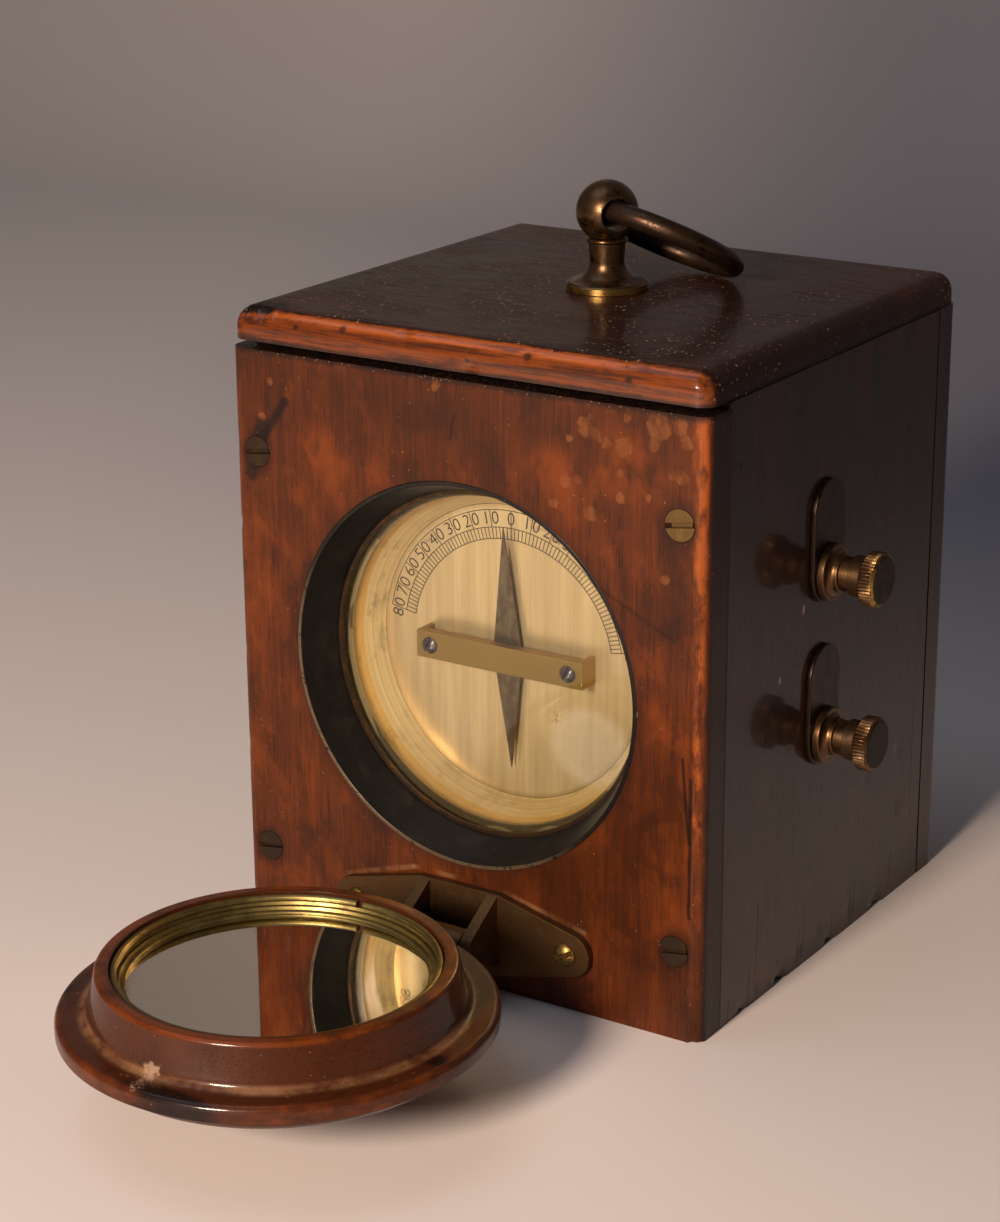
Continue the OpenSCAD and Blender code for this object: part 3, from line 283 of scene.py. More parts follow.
class Graph:
    """Builds one material from nodes, on Object coordinates in millimetres."""

    def __init__(self, name):
        self.material = bpy.data.materials.new(name)
        self.material.use_nodes = True
        self.tree = self.material.node_tree
        self.tree.nodes.clear()
        place = self.add("ShaderNodeTexCoord").outputs["Object"]
        scaled = self.add("ShaderNodeVectorMath", {"operation": "SCALE"}, {0: place, "Scale": 1 / MM})
        parts = self.add("ShaderNodeSeparateXYZ", {}, {0: scaled.outputs[0]})
        self.x, self.y, self.z = (Value(self, socket) for socket in parts.outputs)

    def add(self, kind, settings=None, sockets=None):
        """Adds a node: its settings are set first, then the values and links of its sockets."""
        node = self.tree.nodes.new(kind)
        for key, setting in (settings or {}).items():
            if key == "stops":
                elements = node.color_ramp.elements
                while len(elements) < len(setting):
                    elements.new(1.0)
                for element, (position, colour) in zip(elements, setting):
                    element.position = position
                    element.color = colour
            else:
                setattr(node, key, setting)
        for key, content in (sockets or {}).items():
            socket = node.inputs[key]
            if isinstance(content, Value):
                content = content.socket
            if isinstance(content, bpy.types.NodeSocket):
                self.tree.links.new(content, socket)
            else:
                socket.default_value = content
        return node

    def maths(self, operation, *terms):
        node = self.add("ShaderNodeMath", {"operation": operation}, dict(enumerate(terms)))
        return Value(self, node.outputs[0])

    def vector(self, x, y, z):
        return self.add("ShaderNodeCombineXYZ", {}, {0: x, 1: y, 2: z}).outputs[0]

    def at(self, *scales):
        """The place on the piece times one scale, or times a scale for each axis."""
        if len(scales) == 1:
            scales = scales * 3
        return [axis * scale if scale else 0.0 for axis, scale in zip((self.x, self.y, self.z), scales)]

    def noise(self, place, detail=2.0, rough=0.5, distortion=0.0):
        """Cloudy noise whose waves are about as long as one unit of place."""
        node = self.add(
            "ShaderNodeTexNoise", {"noise_dimensions": "3D"},
            {"Vector": self.vector(*place), "Scale": 1.0, "Detail": detail, "Roughness": rough,
             "Distortion": distortion},
        )
        return Value(self, node.outputs[0])

    def cells(self, place):
        """Distance to the nearest of many scattered points, about one in each unit of place."""
        node = self.add("ShaderNodeTexVoronoi", {}, {"Vector": self.vector(*place), "Scale": 1.0})
        return Value(self, node.outputs["Distance"])

    def fade(self, value, low, high):
        """Soft step from 0 at low to 1 at high."""
        node = self.add(
            "ShaderNodeMapRange", {"interpolation_type": "SMOOTHSTEP"},
            {"Value": value, "From Min": low, "From Max": high},
        )
        return Value(self, node.outputs[0])

    def within(self, value, low, high):
        """Soft step from 1 at low to 0 at high."""
        return 1 - self.fade(value, low, high)

    def mix(self, factor, first, second):
        """Lays the second colour over the first; each is a link or a screen colour."""
        first, second = (c if isinstance(c, bpy.types.NodeSocket) else linear(c) for c in (first, second))
        node = self.add("ShaderNodeMix", {"data_type": "RGBA"}, {0: factor, 6: first, 7: second})
        return node.outputs[2]

    def ramp(self, value, *stops):
        """Screen colours along a value, as pairs of a position and a colour."""
        stops = [(position, linear(colour)) for position, colour in stops]
        return self.add("ShaderNodeValToRGB", {"stops": stops}, {0: value}).outputs[0]

    def away(self, u, v, centre, size=(1.0, 1.0)):
        """Distance from a point of a face, in units of size."""
        du = (u - centre[0]) / size[0]
        dv = (v - centre[1]) / size[1]
        return self.maths("SQRT", du * du + dv * dv)

    def nearest(self, u, v, ovals):
        """Distance from the nearest of some ovals of a face, in units of each one's size."""
        return reduce(Value.least, [self.away(u, v, centre, size) for centre, size in ovals])

    def stroke(self, u, v, start, end, width):
        """Mask of a soft line from start to end on a face."""
        du, dv = end[0] - start[0], end[1] - start[1]
        pu, pv = u - start[0], v - start[1]
        along = (pu * du + pv * dv) / (du * du + dv * dv)
        along = along.most(0.0).least(1.0)
        eu, ev = pu - along * du, pv - along * dv
        return self.within(self.maths("SQRT", eu * eu + ev * ev), width * 0.3, width)

    def bump(self, height, distance, strength=1.0):
        """Normal from a height whose full range is a distance in millimetres."""
        sockets = {"Strength": strength, "Distance": distance * MM, "Height": height}
        return self.add("ShaderNodeBump", {}, sockets).outputs[0]

    def surface(self, colour, roughness, normal=None, **sockets):
        """Ends the graph in one Principled shader."""
        values = {"Base Color": colour, "Roughness": roughness}
        if normal is not None:
            values["Normal"] = normal
        values.update({key.replace("_", " ").title().replace("Ior", "IOR"): v for key, v in sockets.items()})
        shader = self.add("ShaderNodeBsdfPrincipled", {}, values)
        return self.end(shader.outputs[0])

    def end(self, shader):
        self.add("ShaderNodeOutputMaterial", {}, {"Surface": shader})
        return self.material


# Wood


class WoodGraph(Graph):
    """Mahogany: figure, streaks and pores along one axis, ready for the marks of one piece."""

    def __init__(self, name, look, body, light, along, seed):
        super().__init__(name)
        x, y, z = self.x, self.y, self.z
        across, beside, run = {"x": (y, z, x), "y": (x, z, y), "z": (x, y, z)}[along]
        cloud = self.noise((x * 0.035 + seed, y * 0.035, z * 0.035), 3.0, 0.55)
        figure = self.noise((across * 0.2 + cloud * 1.6, beside * 0.2 + seed, run * 0.022), 5.0, 0.62)
        streak = self.noise((across * 1.3, beside * 1.3, run * 0.045 + seed), 3.0, 0.6)
        open_pore = self.noise((across * 3.4, beside * 3.4, run * 0.15 + seed), 2.0, 0.6)
        pores = self.fade(open_pore, 0.56, 0.70)
        self.speck = self.cells((x * 0.55 + seed, y * 0.55, z * 0.55))
        tone = figure * 0.52 + streak * 0.36 + cloud * 0.42
        self.colour = self.ramp(tone, (0.42, look.dark), (0.64, body), (0.92, light))
        self.colour = self.mix(pores * 0.5, self.colour, look.pore)
        self.rough = 0.30 + cloud * 0.16 + pores * 0.18
        self.height = 1 - pores * 0.7 - streak * 0.3

    def mark(self, mask, colour, rough=None, sunk=0.0):
        """Lays a colour over the wood where mask is 1, with its own roughness, sunk below the grain."""
        self.colour = self.mix(mask, self.colour, colour)
        if rough is not None:
            self.rough = self.rough + mask * (rough - self.rough)
        if sunk:
            self.height = self.height - mask * sunk

    def varnished(self, coat, coat_rough, depth):
        """Ends the graph under a coat of varnish, with grain of a depth in millimetres."""
        return self.surface(
            self.colour, self.rough, self.bump(self.height, depth), coat_weight=coat,
            coat_roughness=coat_rough, coat_ior=1.5, specular_ior_level=0.14,
        )


# Marks on the front board: X and Z in millimetres, and sizes
# Patches of painted shade, and worn patches: middle, and half width and half height
FRONT_SHADED = (((2.0, 107.0), (34.0, 11.0)), ((16.0, 30.0), (24.0, 13.0)))
FRONT_WORN = (
    ((20.0, 101.0), (8.0, 6.0)), ((-43.5, 73.0), (6.0, 10.0)), ((-31.0, 97.0), (6.0, 6.0)),
    ((41.0, 58.0), (3.5, 6.0)), ((33.0, 104.0), (13.0, 8.0)),
)
# Drops: place and radius
FRONT_DROPS = (
    (33.5, 107.3, 1.9), (29.9, 107.5, 1.1), (28.0, 108.7, 1.0), (39.3, 108.4, 1.2), (45.6, 109.7, 1.2),
    (25.9, 109.8, 1.7), (40.2, 111.8, 2.6), (44.4, 112.2, 1.6), (44.8, 103.5, 1.3), (42.9, 103.7, 0.9),
    (22.0, 99.6, 1.3), (24.3, 100.4, 0.9), (32.9, 98.3, 1.0), (33.0, 102.6, 0.8), (19.6, 95.3, 1.0),
    (34.1, 112.4, 0.9), (26.8, 111.6, 0.8), (22.6, 107.4, 0.7), (38.4, 99.1, 0.8), (26.9, 94.7, 1.4),
    (41.8, 85.3, 1.0), (-4.7, 113.1, 1.3), (-43.1, 102.1, 0.9), (-41.0, 109.0, 0.8),
)
# Scratches: start, end, width and strength
FRONT_SCRATCHES = (
    ((-37.7, 105.6), (-45.0, 95.5), 1.3, 0.8), ((-43.0, 100.5), (-46.0, 91.0), 2.2, 0.7),
    ((45.6, 53.5), (47.2, 38.0), 0.45, 0.8), ((47.4, 50.0), (47.5, 23.9), 0.5, 0.8),
    ((-0.9, 107.9), (-1.7, 103.9), 0.5, 0.6), ((-20.0, 60.0), (-19.4, 49.0), 0.3, 0.3),
    ((40.6, 45.0), (41.0, 33.0), 0.3, 0.3), ((28.0, 82.0), (44.0, 74.5), 0.5, 0.4),
)
# Points along a dusty line under the recess
FRONT_SMEAR = ((-29.0, 14.6), (-11.0, 20.4), (7.0, 20.4), (26.0, 16.0))
# Half width and half height of the stain round a screw
SCREW_STAIN = (5.0, 6.0)


def front_wood(look):
    """Front board: cloudy and rubbed, stained at the screws, spotted near the upper right corner."""
    g = WoodGraph("Mahogany front", look, look.red, look.orange, "z", 3.1)
    x, y, z = g.x, g.y, g.z
    behind = y - FRONT_Y
    patchy = g.noise((x * 0.12, y * 0.12, z * 0.07 + 9.0), 4.0, 0.65)
    flame = g.noise((x * 0.095 + z * 0.04, y * 0.05, z * 0.07 - x * 0.03 + 4.0), 5.0, 0.66, 0.4)
    g.mark(g.fade(flame, 0.53, 0.67) * 0.46, look.orange)
    g.mark(g.within(flame, 0.37, 0.49) * 0.55, look.dark)
    # Painted shade: a darker ring round the recess and darker patches where shadow falls, in the dark grain
    # colour
    recess_shade = g.fade(g.away(x, z, (0.0, DIAL_Z)), 35.0, 42.0) * 1.5 + 0.35
    shade = g.nearest(x, z, FRONT_SHADED).least(recess_shade)
    g.mark(g.within(shade, 0.3, 1.25) * 0.5, look.dark)
    worn = g.nearest(x, z, FRONT_WORN)
    g.mark(g.within(worn, 0.2, 1.3) * g.fade(patchy, 0.38, 0.62) * 0.75, look.orange, 0.42)
    ragged = g.noise(g.at(0.4, 0.4, 0.16), 4.0, 0.7)
    # Right front arris: partly rubbed bare wood, partly a painted highlight that grows towards the top
    worn_and_highlight = g.fade(x + ragged * 4.0, RIGHT_X - 0.9, RIGHT_X + 1.0) * g.within(behind + ragged * 1.2, 1.0, 1.9)
    g.mark(worn_and_highlight * g.fade(ragged + z * 0.0036, 0.62, 0.84) * 0.85, look.ember, 0.3)
    left = g.within(x - ragged * 4.0, LEFT_X - 1.0, LEFT_X + 1.2)
    g.mark(left * g.fade(patchy, 0.48, 0.66) * 0.45, look.orange, 0.34)
    g.mark(g.fade(behind + ragged * 1.4, 1.5, 2.5) * 0.92, look.side, 0.34)
    wobble = g.noise(g.at(0.6), 3.0, 0.6) - 0.5
    drops = [((sx, sz), (size * 0.9, size)) for sx, sz, size in FRONT_DROPS]
    drop = g.nearest(x + wobble * 2.2, z - wobble * 1.8, drops)
    ring = g.fade(drop, 0.55, 0.8) * g.within(drop, 0.85, 1.15) * 0.5 + g.within(drop, 0.3, 1.05) * 0.8
    g.mark(ring * (0.25 + g.fade(ragged, 0.38, 0.62) * 0.6), look.drop, 0.3, -1.2)
    columns = (SCREWS_LOW.x + SCREW_HEAD_R, SCREWS_HIGH.x - SCREW_HEAD_R)
    rows = (SCREWS_LOW.z + SCREW_HEAD_R, SCREWS_HIGH.z - SCREW_HEAD_R)
    stain = g.nearest(x, z, [((sx, sz), SCREW_STAIN) for sx in columns for sz in rows])
    g.mark(g.within(stain + patchy * 0.6, 0.7, 1.3) * 0.7, look.pore, 0.5)
    for start, end, width, strength in FRONT_SCRATCHES:
        scratch = g.stroke(x + patchy * 1.2 - 0.6, z, start, end, width)
        g.mark(scratch * strength, look.pore, 0.55, 0.6)
    for start, end in zip(FRONT_SMEAR, FRONT_SMEAR[1:]):
        smear = g.stroke(x, z + patchy * 0.6 - 0.3, start, end, 0.7)
        g.mark(smear * g.fade(patchy, 0.40, 0.60) * 0.32, look.dust, 0.6)
    # Darker along the board's top under the lid: grime, and painted shade in the gap beneath the lid
    grime = g.fade(z + patchy * 2.0, CASE_HIGH.z - 8.0, CASE_HIGH.z - 6.6)
    g.mark(grime * 0.8, look.pore, 0.6)
    crumb = g.within(g.cells(g.at(1.4)), 0.12, 0.24) * grime
    fleck = g.within(g.speck, 0.05, 0.11) * g.fade(patchy, 0.46, 0.62)
    g.mark((fleck * 0.55).most(crumb * 0.6), look.dust, 0.6)
    paste = g.within(g.away(x, z, (35.9, 59.9), (1.0, 1.2)) + patchy * 0.4, 0.7, 1.1)
    g.mark(paste * 0.85, look.paste, 0.5, -0.8)
    return g.varnished(0.18, coat_rough=0.15, depth=0.06)


# Splits in the right side: start and end as Y and Z in millimetres, and width
SIDE_SPLITS = (
    ((-10.6, 8.0), (-11.2, 0.0), 0.5), ((-8.8, 7.8), (-9.6, 2.0), 0.3), ((10.6, 9.0), (10.4, 0.0), 0.45),
    ((12.4, 9.0), (12.0, 2.0), 0.3), ((-30.4, 6.8), (-30.8, 0.0), 0.6), ((-27.4, 20.0), (-27.8, 6.0), 0.35),
    ((28.0, 9.5), (27.6, 2.0), 0.4), ((-19.5, 5.0), (-19.8, 0.0), 0.4), ((3.0, 7.0), (2.8, 2.0), 0.3),
    ((-38.0, 4.5), (-38.4, 0.0), 0.5), ((36.0, 40.0), (36.2, 14.0), 0.25),
    ((-14.0, 30.0), (-14.2, 24.0), 0.3),
)
SIDE_CHIPS = (((-12.5, 71.2), (0.7, 1.3)), ((-21.1, 60.3), (0.7, 0.9)))


def side_wood(look):
    """Sides, back and base: dark and glossy, knocked along the lower edges."""
    g = WoodGraph("Mahogany sides", look, look.side, look.red, "z", 7.7)
    x, y, z = g.x, g.y, g.z
    patchy = g.noise(g.at(0.1, 0.1, 0.06), 4.0, 0.6)
    g.mark(g.within(z, 0.0, 40.0) * g.fade(patchy, 0.36, 0.62) * 0.5, look.red, 0.4)
    knock = g.cells((y * 0.11, x * 0.11, z * 0.055))
    g.mark(g.within(knock, 0.08, 0.17) * g.within(z, 14.0, 42.0) * 0.8, look.pore, 0.5, 2.0)
    split = g.noise((y * 1.1, x * 1.1, z * 0.035 + 3.0), 2.0, 0.5)
    g.mark(g.fade(split, 0.70, 0.74) * g.within(z, 20.0, 60.0) * 0.8, look.pore, 0.5, 2.0)
    right = g.fade(x, RIGHT_X - 10.0, RIGHT_X - 4.0)
    for start, end, width in SIDE_SPLITS:
        split = g.stroke(y + patchy * 0.8 - 0.4, z, start, end, width)
        g.mark(split * right * 0.85, look.pore, 0.5, 3.0)
    hole = g.within(g.away(y, z, (-37.5, 104.4), (0.9, 0.9)), 0.6, 1.0)
    g.mark(hole * right * 0.9, look.pore, 0.4, 4.0)
    chip = g.nearest(y, z, SIDE_CHIPS) + patchy * 0.5
    g.mark(g.within(chip, 0.7, 1.1) * right * 0.9, look.chip, 0.5)
    dents = g.within(g.speck, 0.07, 0.15) * g.fade(patchy, 0.50, 0.64)
    g.mark(dents * 0.35, look.dust, 0.55, 1.0)
    arris = g.fade(abs(y), BACK_Y - 1.9, BACK_Y - 0.2)
    g.mark(arris * g.fade(patchy, 0.42, 0.62) * 0.5, look.orange, 0.3)
    scuff = g.noise(g.at(2.5, 0.9, 2.5), 2.0, 0.5)
    g.mark(g.fade(scuff, 0.68, 0.76) * 0.14, look.dust, 0.5)
    return g.varnished(0.5, coat_rough=0.09, depth=0.06)


# Dark knots in the lid's front edge: X, Z and half width in millimetres
LID_KNOTS = (
    (13.9, 120.2, 1.3), (-24.9, 120.4, 1.2), (34.3, 119.0, 1.1), (-35.0, 119.6, 0.9), (2.0, 118.2, 0.8),
)


def lid_wood(look):
    """Lid: nearly black and polished on top, rubbed orange along its front edge with a painted highlight,
    dusty.
    """
    g = WoodGraph("Mahogany lid", look, look.lid, look.red, "x", 1.9)
    x, y, z = g.x, g.y, g.z
    patchy = g.noise(g.at(0.09, 0.2, 0.2), 4.0, 0.62)
    chipped = g.noise((x * 0.45, y * 0.5, z * 0.5 + 6.0), 4.0, 0.65)
    front = g.fade(FRONT_Y + 2.1 + patchy * 1.6 + chipped * 1.2 - y, 0.9, 1.9)
    streak = g.noise(g.at(0.06, 1.1, 1.1), 4.0, 0.6)
    g.mark(front * 0.95, g.mix(g.fade(streak, 0.36, 0.64) * 0.75, look.orange, look.red), 0.34)
    # Painted highlight over rubbed wood: brighter along the top of the rounded front edge, and more orange
    # towards the front right corner
    rim = front * g.fade(z + patchy * 0.8, LID_HIGH.z - 1.5, LID_HIGH.z - 0.8)
    g.mark(rim * g.fade(patchy, 0.30, 0.48) * 0.9, look.ember, 0.26)
    g.mark(front * g.fade(x, 28.0, 46.0) * 0.4, look.orange, 0.3)
    g.mark(front * g.fade(streak * 1.2 + chipped * 0.5, 0.80, 1.04) * 0.6, look.dark, 0.45)
    corner = g.away(x, z, (LEFT_X + 4.0, LID_HIGH.z + 0.6), (8.5, 3.0)) + chipped * 0.7
    corner = g.within(corner, 0.85, 1.25) * g.within(y, FRONT_Y + 4.5, FRONT_Y + 8.5)
    g.mark(corner * 0.95, look.pore, 0.55, 0.8)
    for sx, sz, size in LID_KNOTS:
        knot = g.away(x, z, (sx, sz), (size, size * 0.8)) + chipped * 0.5
        g.mark(g.within(knot, 0.55, 1.2) * front * 0.75, look.pore, 0.5, 0.5)
    # Darker along the lid's lower edge: grime, and painted shade in the gap over the front board
    low = g.within(z - chipped * 0.8, LID_LOW.z - 0.1, LID_LOW.z + 0.7)
    g.mark(low * 0.8, look.pore, 0.6)
    dirt = g.fade(g.noise((x * 0.05, y * 0.05, 2.0), 4.0, 0.6), 0.38, 0.62)
    coarse_dust = g.within(g.cells(g.at(0.36)), 0.065, 0.115) * dirt
    fine_dust = g.within(g.cells((x * 0.7 + 4.0, y * 0.7, z * 0.7)), 0.115, 0.205) * dirt
    lying = (coarse_dust * 0.85).most(fine_dust * 0.55) * (1 - front)
    g.mark(lying, look.lint, 0.8)
    g.rough = g.rough + dirt * 0.06
    return g.varnished((0.15 + front * 0.45) * (1 - lying), coat_rough=0.08, depth=0.05)


# Burnt places on the cover: middle as X and Y, and half width and half depth, in millimetres
COVER_BURNS = (((5.8, -140.4), (11.5, 2.7)), ((34.6, -108.0), (2.4, 2.6)), ((-33.0, -121.0), (1.6, 2.2)))


def cover_wood(look):
    """Turned cover: dark and glossy, rubbed on its edges, dusty in the fillet, burnt in places."""
    g = WoodGraph("Mahogany cover", look, look.cover, look.red, "y", 5.3)
    x, y, z = g.x, g.y, g.z
    radius = g.away(x, y, (0.0, COVER_Y))
    patchy = g.noise(g.at(0.11, 0.11, 0.25), 4.0, 0.62)
    edge = g.fade(radius + patchy, COVER_R - 1.1, COVER_R + 0.1)
    edge = edge * g.fade(z, COVER_LOW.z + 2.0, COVER_LOW.z + 4.0)
    g.mark(edge * g.fade(patchy, 0.40, 0.66) * 0.55, look.orange, 0.3)
    lip = g.fade(z, COVER_HIGH.z - 1.0, COVER_HIGH.z - 0.2) * g.fade(radius, 28.2, 29.0)
    g.mark(lip * g.fade(patchy, 0.36, 0.58) * 0.8, look.orange, 0.3)
    fillet = g.within(abs(radius - FILLET_R), 0.3, 1.5) * g.within(abs(z - COVER_LOW.z - FILLET_H), 0.2, 1.1)
    g.mark(fillet * g.fade(patchy, 0.34, 0.62) * 0.5, look.dust, 0.65)
    dusty = g.within(g.speck, 0.10, 0.30) * g.within(abs(radius - (FILLET_R + 0.3)), 1.0, 3.0)
    dusty = dusty * g.within(z, COVER_LOW.z + FILLET_H, COVER_LOW.z + FILLET_H + 0.8)
    g.mark(dusty * g.fade(patchy, 0.45, 0.6) * 0.3, look.dust, 0.6)
    for place, size in COVER_BURNS:
        burnt = g.away(x, y, place, size) + patchy * 0.6
        g.mark(g.within(burnt, 0.75, 1.3) * g.fade(radius, 33.0, 34.5) * 0.92, look.pore, 0.4, 0.5)
    crumbly = g.noise(g.at(1.1), 4.0, 0.7)
    crust = g.away(x, z, (-0.8, COVER_LOW.z + FILLET_H + 0.7), (2.3, 1.5)) + crumbly * 2.2
    crust = g.within(crust, 1.5, 2.0) * g.within(y, COVER_Y - 27.0, COVER_Y - 24.0)
    g.mark(crust * 0.65, look.crust, 0.6, -0.6)
    fleck = g.within(g.speck, 0.05, 0.10) * g.fade(patchy, 0.46, 0.62)
    g.mark(fleck * 0.5, look.dust, 0.6)
    turning = g.noise((radius * 3.0, z * 3.0, 0.0), 2.0, 0.5)
    g.height = g.height + turning * 0.25
    return g.varnished(0.42, coat_rough=0.10, depth=0.05)


# Metal, lacquer, glass and coils


def old_brass(name, look, body, worn, patina, rough, turned=None, polish=None, dull=None):
    """Brass of two tones under a patchy patina, with fine scratches, or lines along what turned gives.

    The patina runs from 0 to 1, and polish and dull give masks of rubbed and of grimy places.
    """
    g = Graph(name)
    patch = g.noise(g.at(0.35), 5.0, 0.65)
    fine = g.noise(g.at(2.2), 3.0, 0.6)
    if turned:
        line = g.noise((turned(g) * 7.0, 3.0, 5.0), 3.0, 0.65)
    else:
        line = g.noise(g.at(1.2, 9.0, 9.0), 2.0, 0.6)
    tarnish = g.fade(patch * 0.7 + fine * 0.3, 0.5 - patina * 0.22, 0.78 - patina * 0.3)
    tarnish = tarnish * min(1.0, patina * 2)
    colour = g.mix(g.fade(fine + line * 0.4, 0.42, 0.92), body, worn)
    if polish:
        rubbed = polish(g)
        tarnish = tarnish * (1 - rubbed)
        colour = g.mix(rubbed, colour, look.gold)
    colour = g.mix(tarnish * 0.85, colour, look.shade)
    pits = g.within(g.cells(g.at(1.3)), 0.06, 0.16)
    colour = g.mix(pits * 0.5 * patina, colour, look.shade)
    if dull:
        grimy = dull(g)
        colour = g.mix(grimy * 0.9, colour, look.shade)
        tarnish = tarnish.most(grimy)
    roughness = rough + tarnish * 0.16 + line * 0.10 - 0.03
    normal = g.bump(line * 0.5 + fine * 0.3 - pits * 0.6, 0.03, 0.7)
    return g.surface(colour, roughness, normal, metallic=1 - tarnish * 0.35)


def steel(look):
    """Blued steel with a browner bloom."""
    g = Graph("Blued steel")
    line = g.noise(g.at(6.0, 6.0, 0.8), 2.0, 0.5)
    bloom = g.fade(g.noise(g.at(0.5), 4.0, 0.6), 0.42, 0.66)
    colour = g.mix(bloom, look.steel, look.bloom)
    rough = 0.26 + bloom * 0.14 + line * 0.06
    return g.surface(colour, rough, g.bump(line, 0.01, 0.5), metallic=0.9 - bloom * 0.2)


def pointer_metal(look):
    """Needle of grey bronze in lighter and darker patches."""
    g = Graph("Needle bronze")
    patch = g.noise(g.at(0.6, 0.0, 0.3), 4.0, 0.6)
    line = g.noise((g.x * 8.0, 1.0, g.z * 0.5), 2.0, 0.5)
    colour = g.mix(g.fade(patch, 0.36, 0.68), look.needle, look.needle_worn)
    return g.surface(colour, 0.30 + line * 0.12, g.bump(line, 0.01, 0.4), metallic=0.85)


def liner_lacquer(look):
    """Lacquered lining: glossy black with a brown cast; its front edge is rubbed, with a painted highlight
    along the lower left.
    """
    g = Graph("Recess lacquer")
    x, y, z = g.x, g.y, g.z
    patch = g.noise(g.at(0.2, 0.3, 0.2), 4.0, 0.6)
    fine = g.noise(g.at(0.9), 3.0, 0.6)
    colour = g.mix(g.fade(patch, 0.44, 0.74) * 0.7, look.lacquer, look.lacquer_brown)
    # Painted highlight, partly bare metal: the front edge is lightened only on the lower left, where it
    # catches the light
    lit_lower_left = g.fade((z - DIAL_Z) * -0.8 - x * 0.62, 4.0, 24.0)
    rubbed = g.within(y - FRONT_Y, 0.01, 0.09) * g.fade(fine, 0.28, 0.46) * lit_lower_left
    colour = g.mix(rubbed * 0.42, colour, look.lacquer_rubbed)
    dust = g.within(g.cells(g.at(0.8)), 0.04, 0.11) * g.fade(patch, 0.40, 0.60) * 0.6
    colour = g.mix(dust, colour, look.lacquer_dust)
    return g.surface(
        colour, 0.34 + patch * 0.10 + dust * 0.3, g.bump(patch + fine * 0.3, 0.05, 0.5),
        metallic=rubbed * 0.5, coat_weight=0.12, coat_roughness=0.14, specular_ior_level=0.3,
    )


def bowl_brass(look, ridge_r=31.0):
    """Drum round the dial: lathe-turned pale brass, gone olive in patches, with a painted highlight on its
    ridge and painted shade on its wall behind the glass.
    """
    g = Graph("Turned bowl brass")
    radius = g.away(g.x, g.z, (0.0, DIAL_Z))
    line = g.noise((radius * 5.0, g.y * 5.0, 0.0), 3.0, 0.7)
    dirt = g.fade(g.noise(g.at(0.16, 0.3, 0.16), 5.0, 0.65), 0.50, 0.74)
    low = g.fade(DIAL_Z - g.z, 12.0, 30.0)
    # Painted highlight: a brighter gold ring along the ridge
    ridge = g.within(abs(radius - ridge_r), 0.10, 0.45)
    # Painted shade: the drum's wall behind the glass is darkened as in the recess's shadow
    wall = g.within(g.y - FRONT_Y, 9.4, 12.3)
    colour = g.mix(0.35 + g.fade(line, 0.30, 0.70) * 0.65, look.olive, look.bowl)
    colour = g.mix(ridge * 0.8, colour, look.gold)
    colour = g.mix(dirt * 0.55, colour, look.bowl_dirt)
    colour = g.mix(low * 0.45, colour, look.bowl_low)
    colour = g.mix(wall * 0.85, colour, look.bowl_wall)
    rough = 0.33 + dirt * 0.16 + line * 0.06
    return g.surface(colour, rough, g.bump(line, 0.02, 0.4), metallic=0.42 - dirt * 0.1)


# Stains on the dial: X and height over its middle, and half width and half height, in millimetres
DIAL_STAINS = (
    ((6.2, 25.6), (3.2, 1.8)), ((9.5, -11.0), (2.0, 2.4)), ((10.5, 23.0), (3.0, 2.2)),
    ((-18.5, 19.0), (1.2, 1.0)),
)


def dial_gilt(look):
    """Gilt plate, brushed upright, with a few brown stains."""
    g = Graph("Brushed gilt dial")
    x, z = g.x, g.z - DIAL_Z
    brush = g.noise((x * 5.0, 0.0, z * 0.035), 3.0, 0.6)
    broad = g.noise((x * 0.36, 2.0, z * 0.02), 3.0, 0.6)
    mottled = g.noise((x * 0.8, 4.0, z * 0.8), 4.0, 0.7)
    stained = g.within(g.nearest(x, z, DIAL_STAINS), 0.2, 1.15) * g.fade(mottled, 0.44, 0.58)
    rim = g.fade(g.away(x, z, (0.0, 0.0)) + mottled * 0.6, 27.4, 28.4)
    fleck = g.within(g.cells((x * 0.9, 0.0, z * 0.9)), 0.05, 0.10) * g.fade(mottled, 0.5, 0.62)
    colour = g.mix(g.fade(brush * 0.3 + broad * 0.8, 0.36, 0.76), look.plate_worn, look.plate)
    colour = g.mix(stained * 0.75, colour, look.plate_stain)
    colour = g.mix(rim * 0.4, colour, look.plate_rim)
    colour = g.mix(fleck * 0.6, colour, look.plate_fleck)
    rough = 0.26 + brush * 0.06 + stained * 0.25
    return g.surface(colour, rough, g.bump(brush, 0.006, 0.2), metallic=0.66 - stained * 0.4)


def scale_ink(look):
    """Black filling of the scale, a little worn."""
    g = Graph("Scale ink")
    worn = g.fade(g.noise(g.at(1.6, 0.0, 1.6), 3.0, 0.6), 0.50, 0.72)
    return g.surface(g.mix(worn * 0.35, look.ink, look.ink_worn), 0.42 + worn * 0.2)


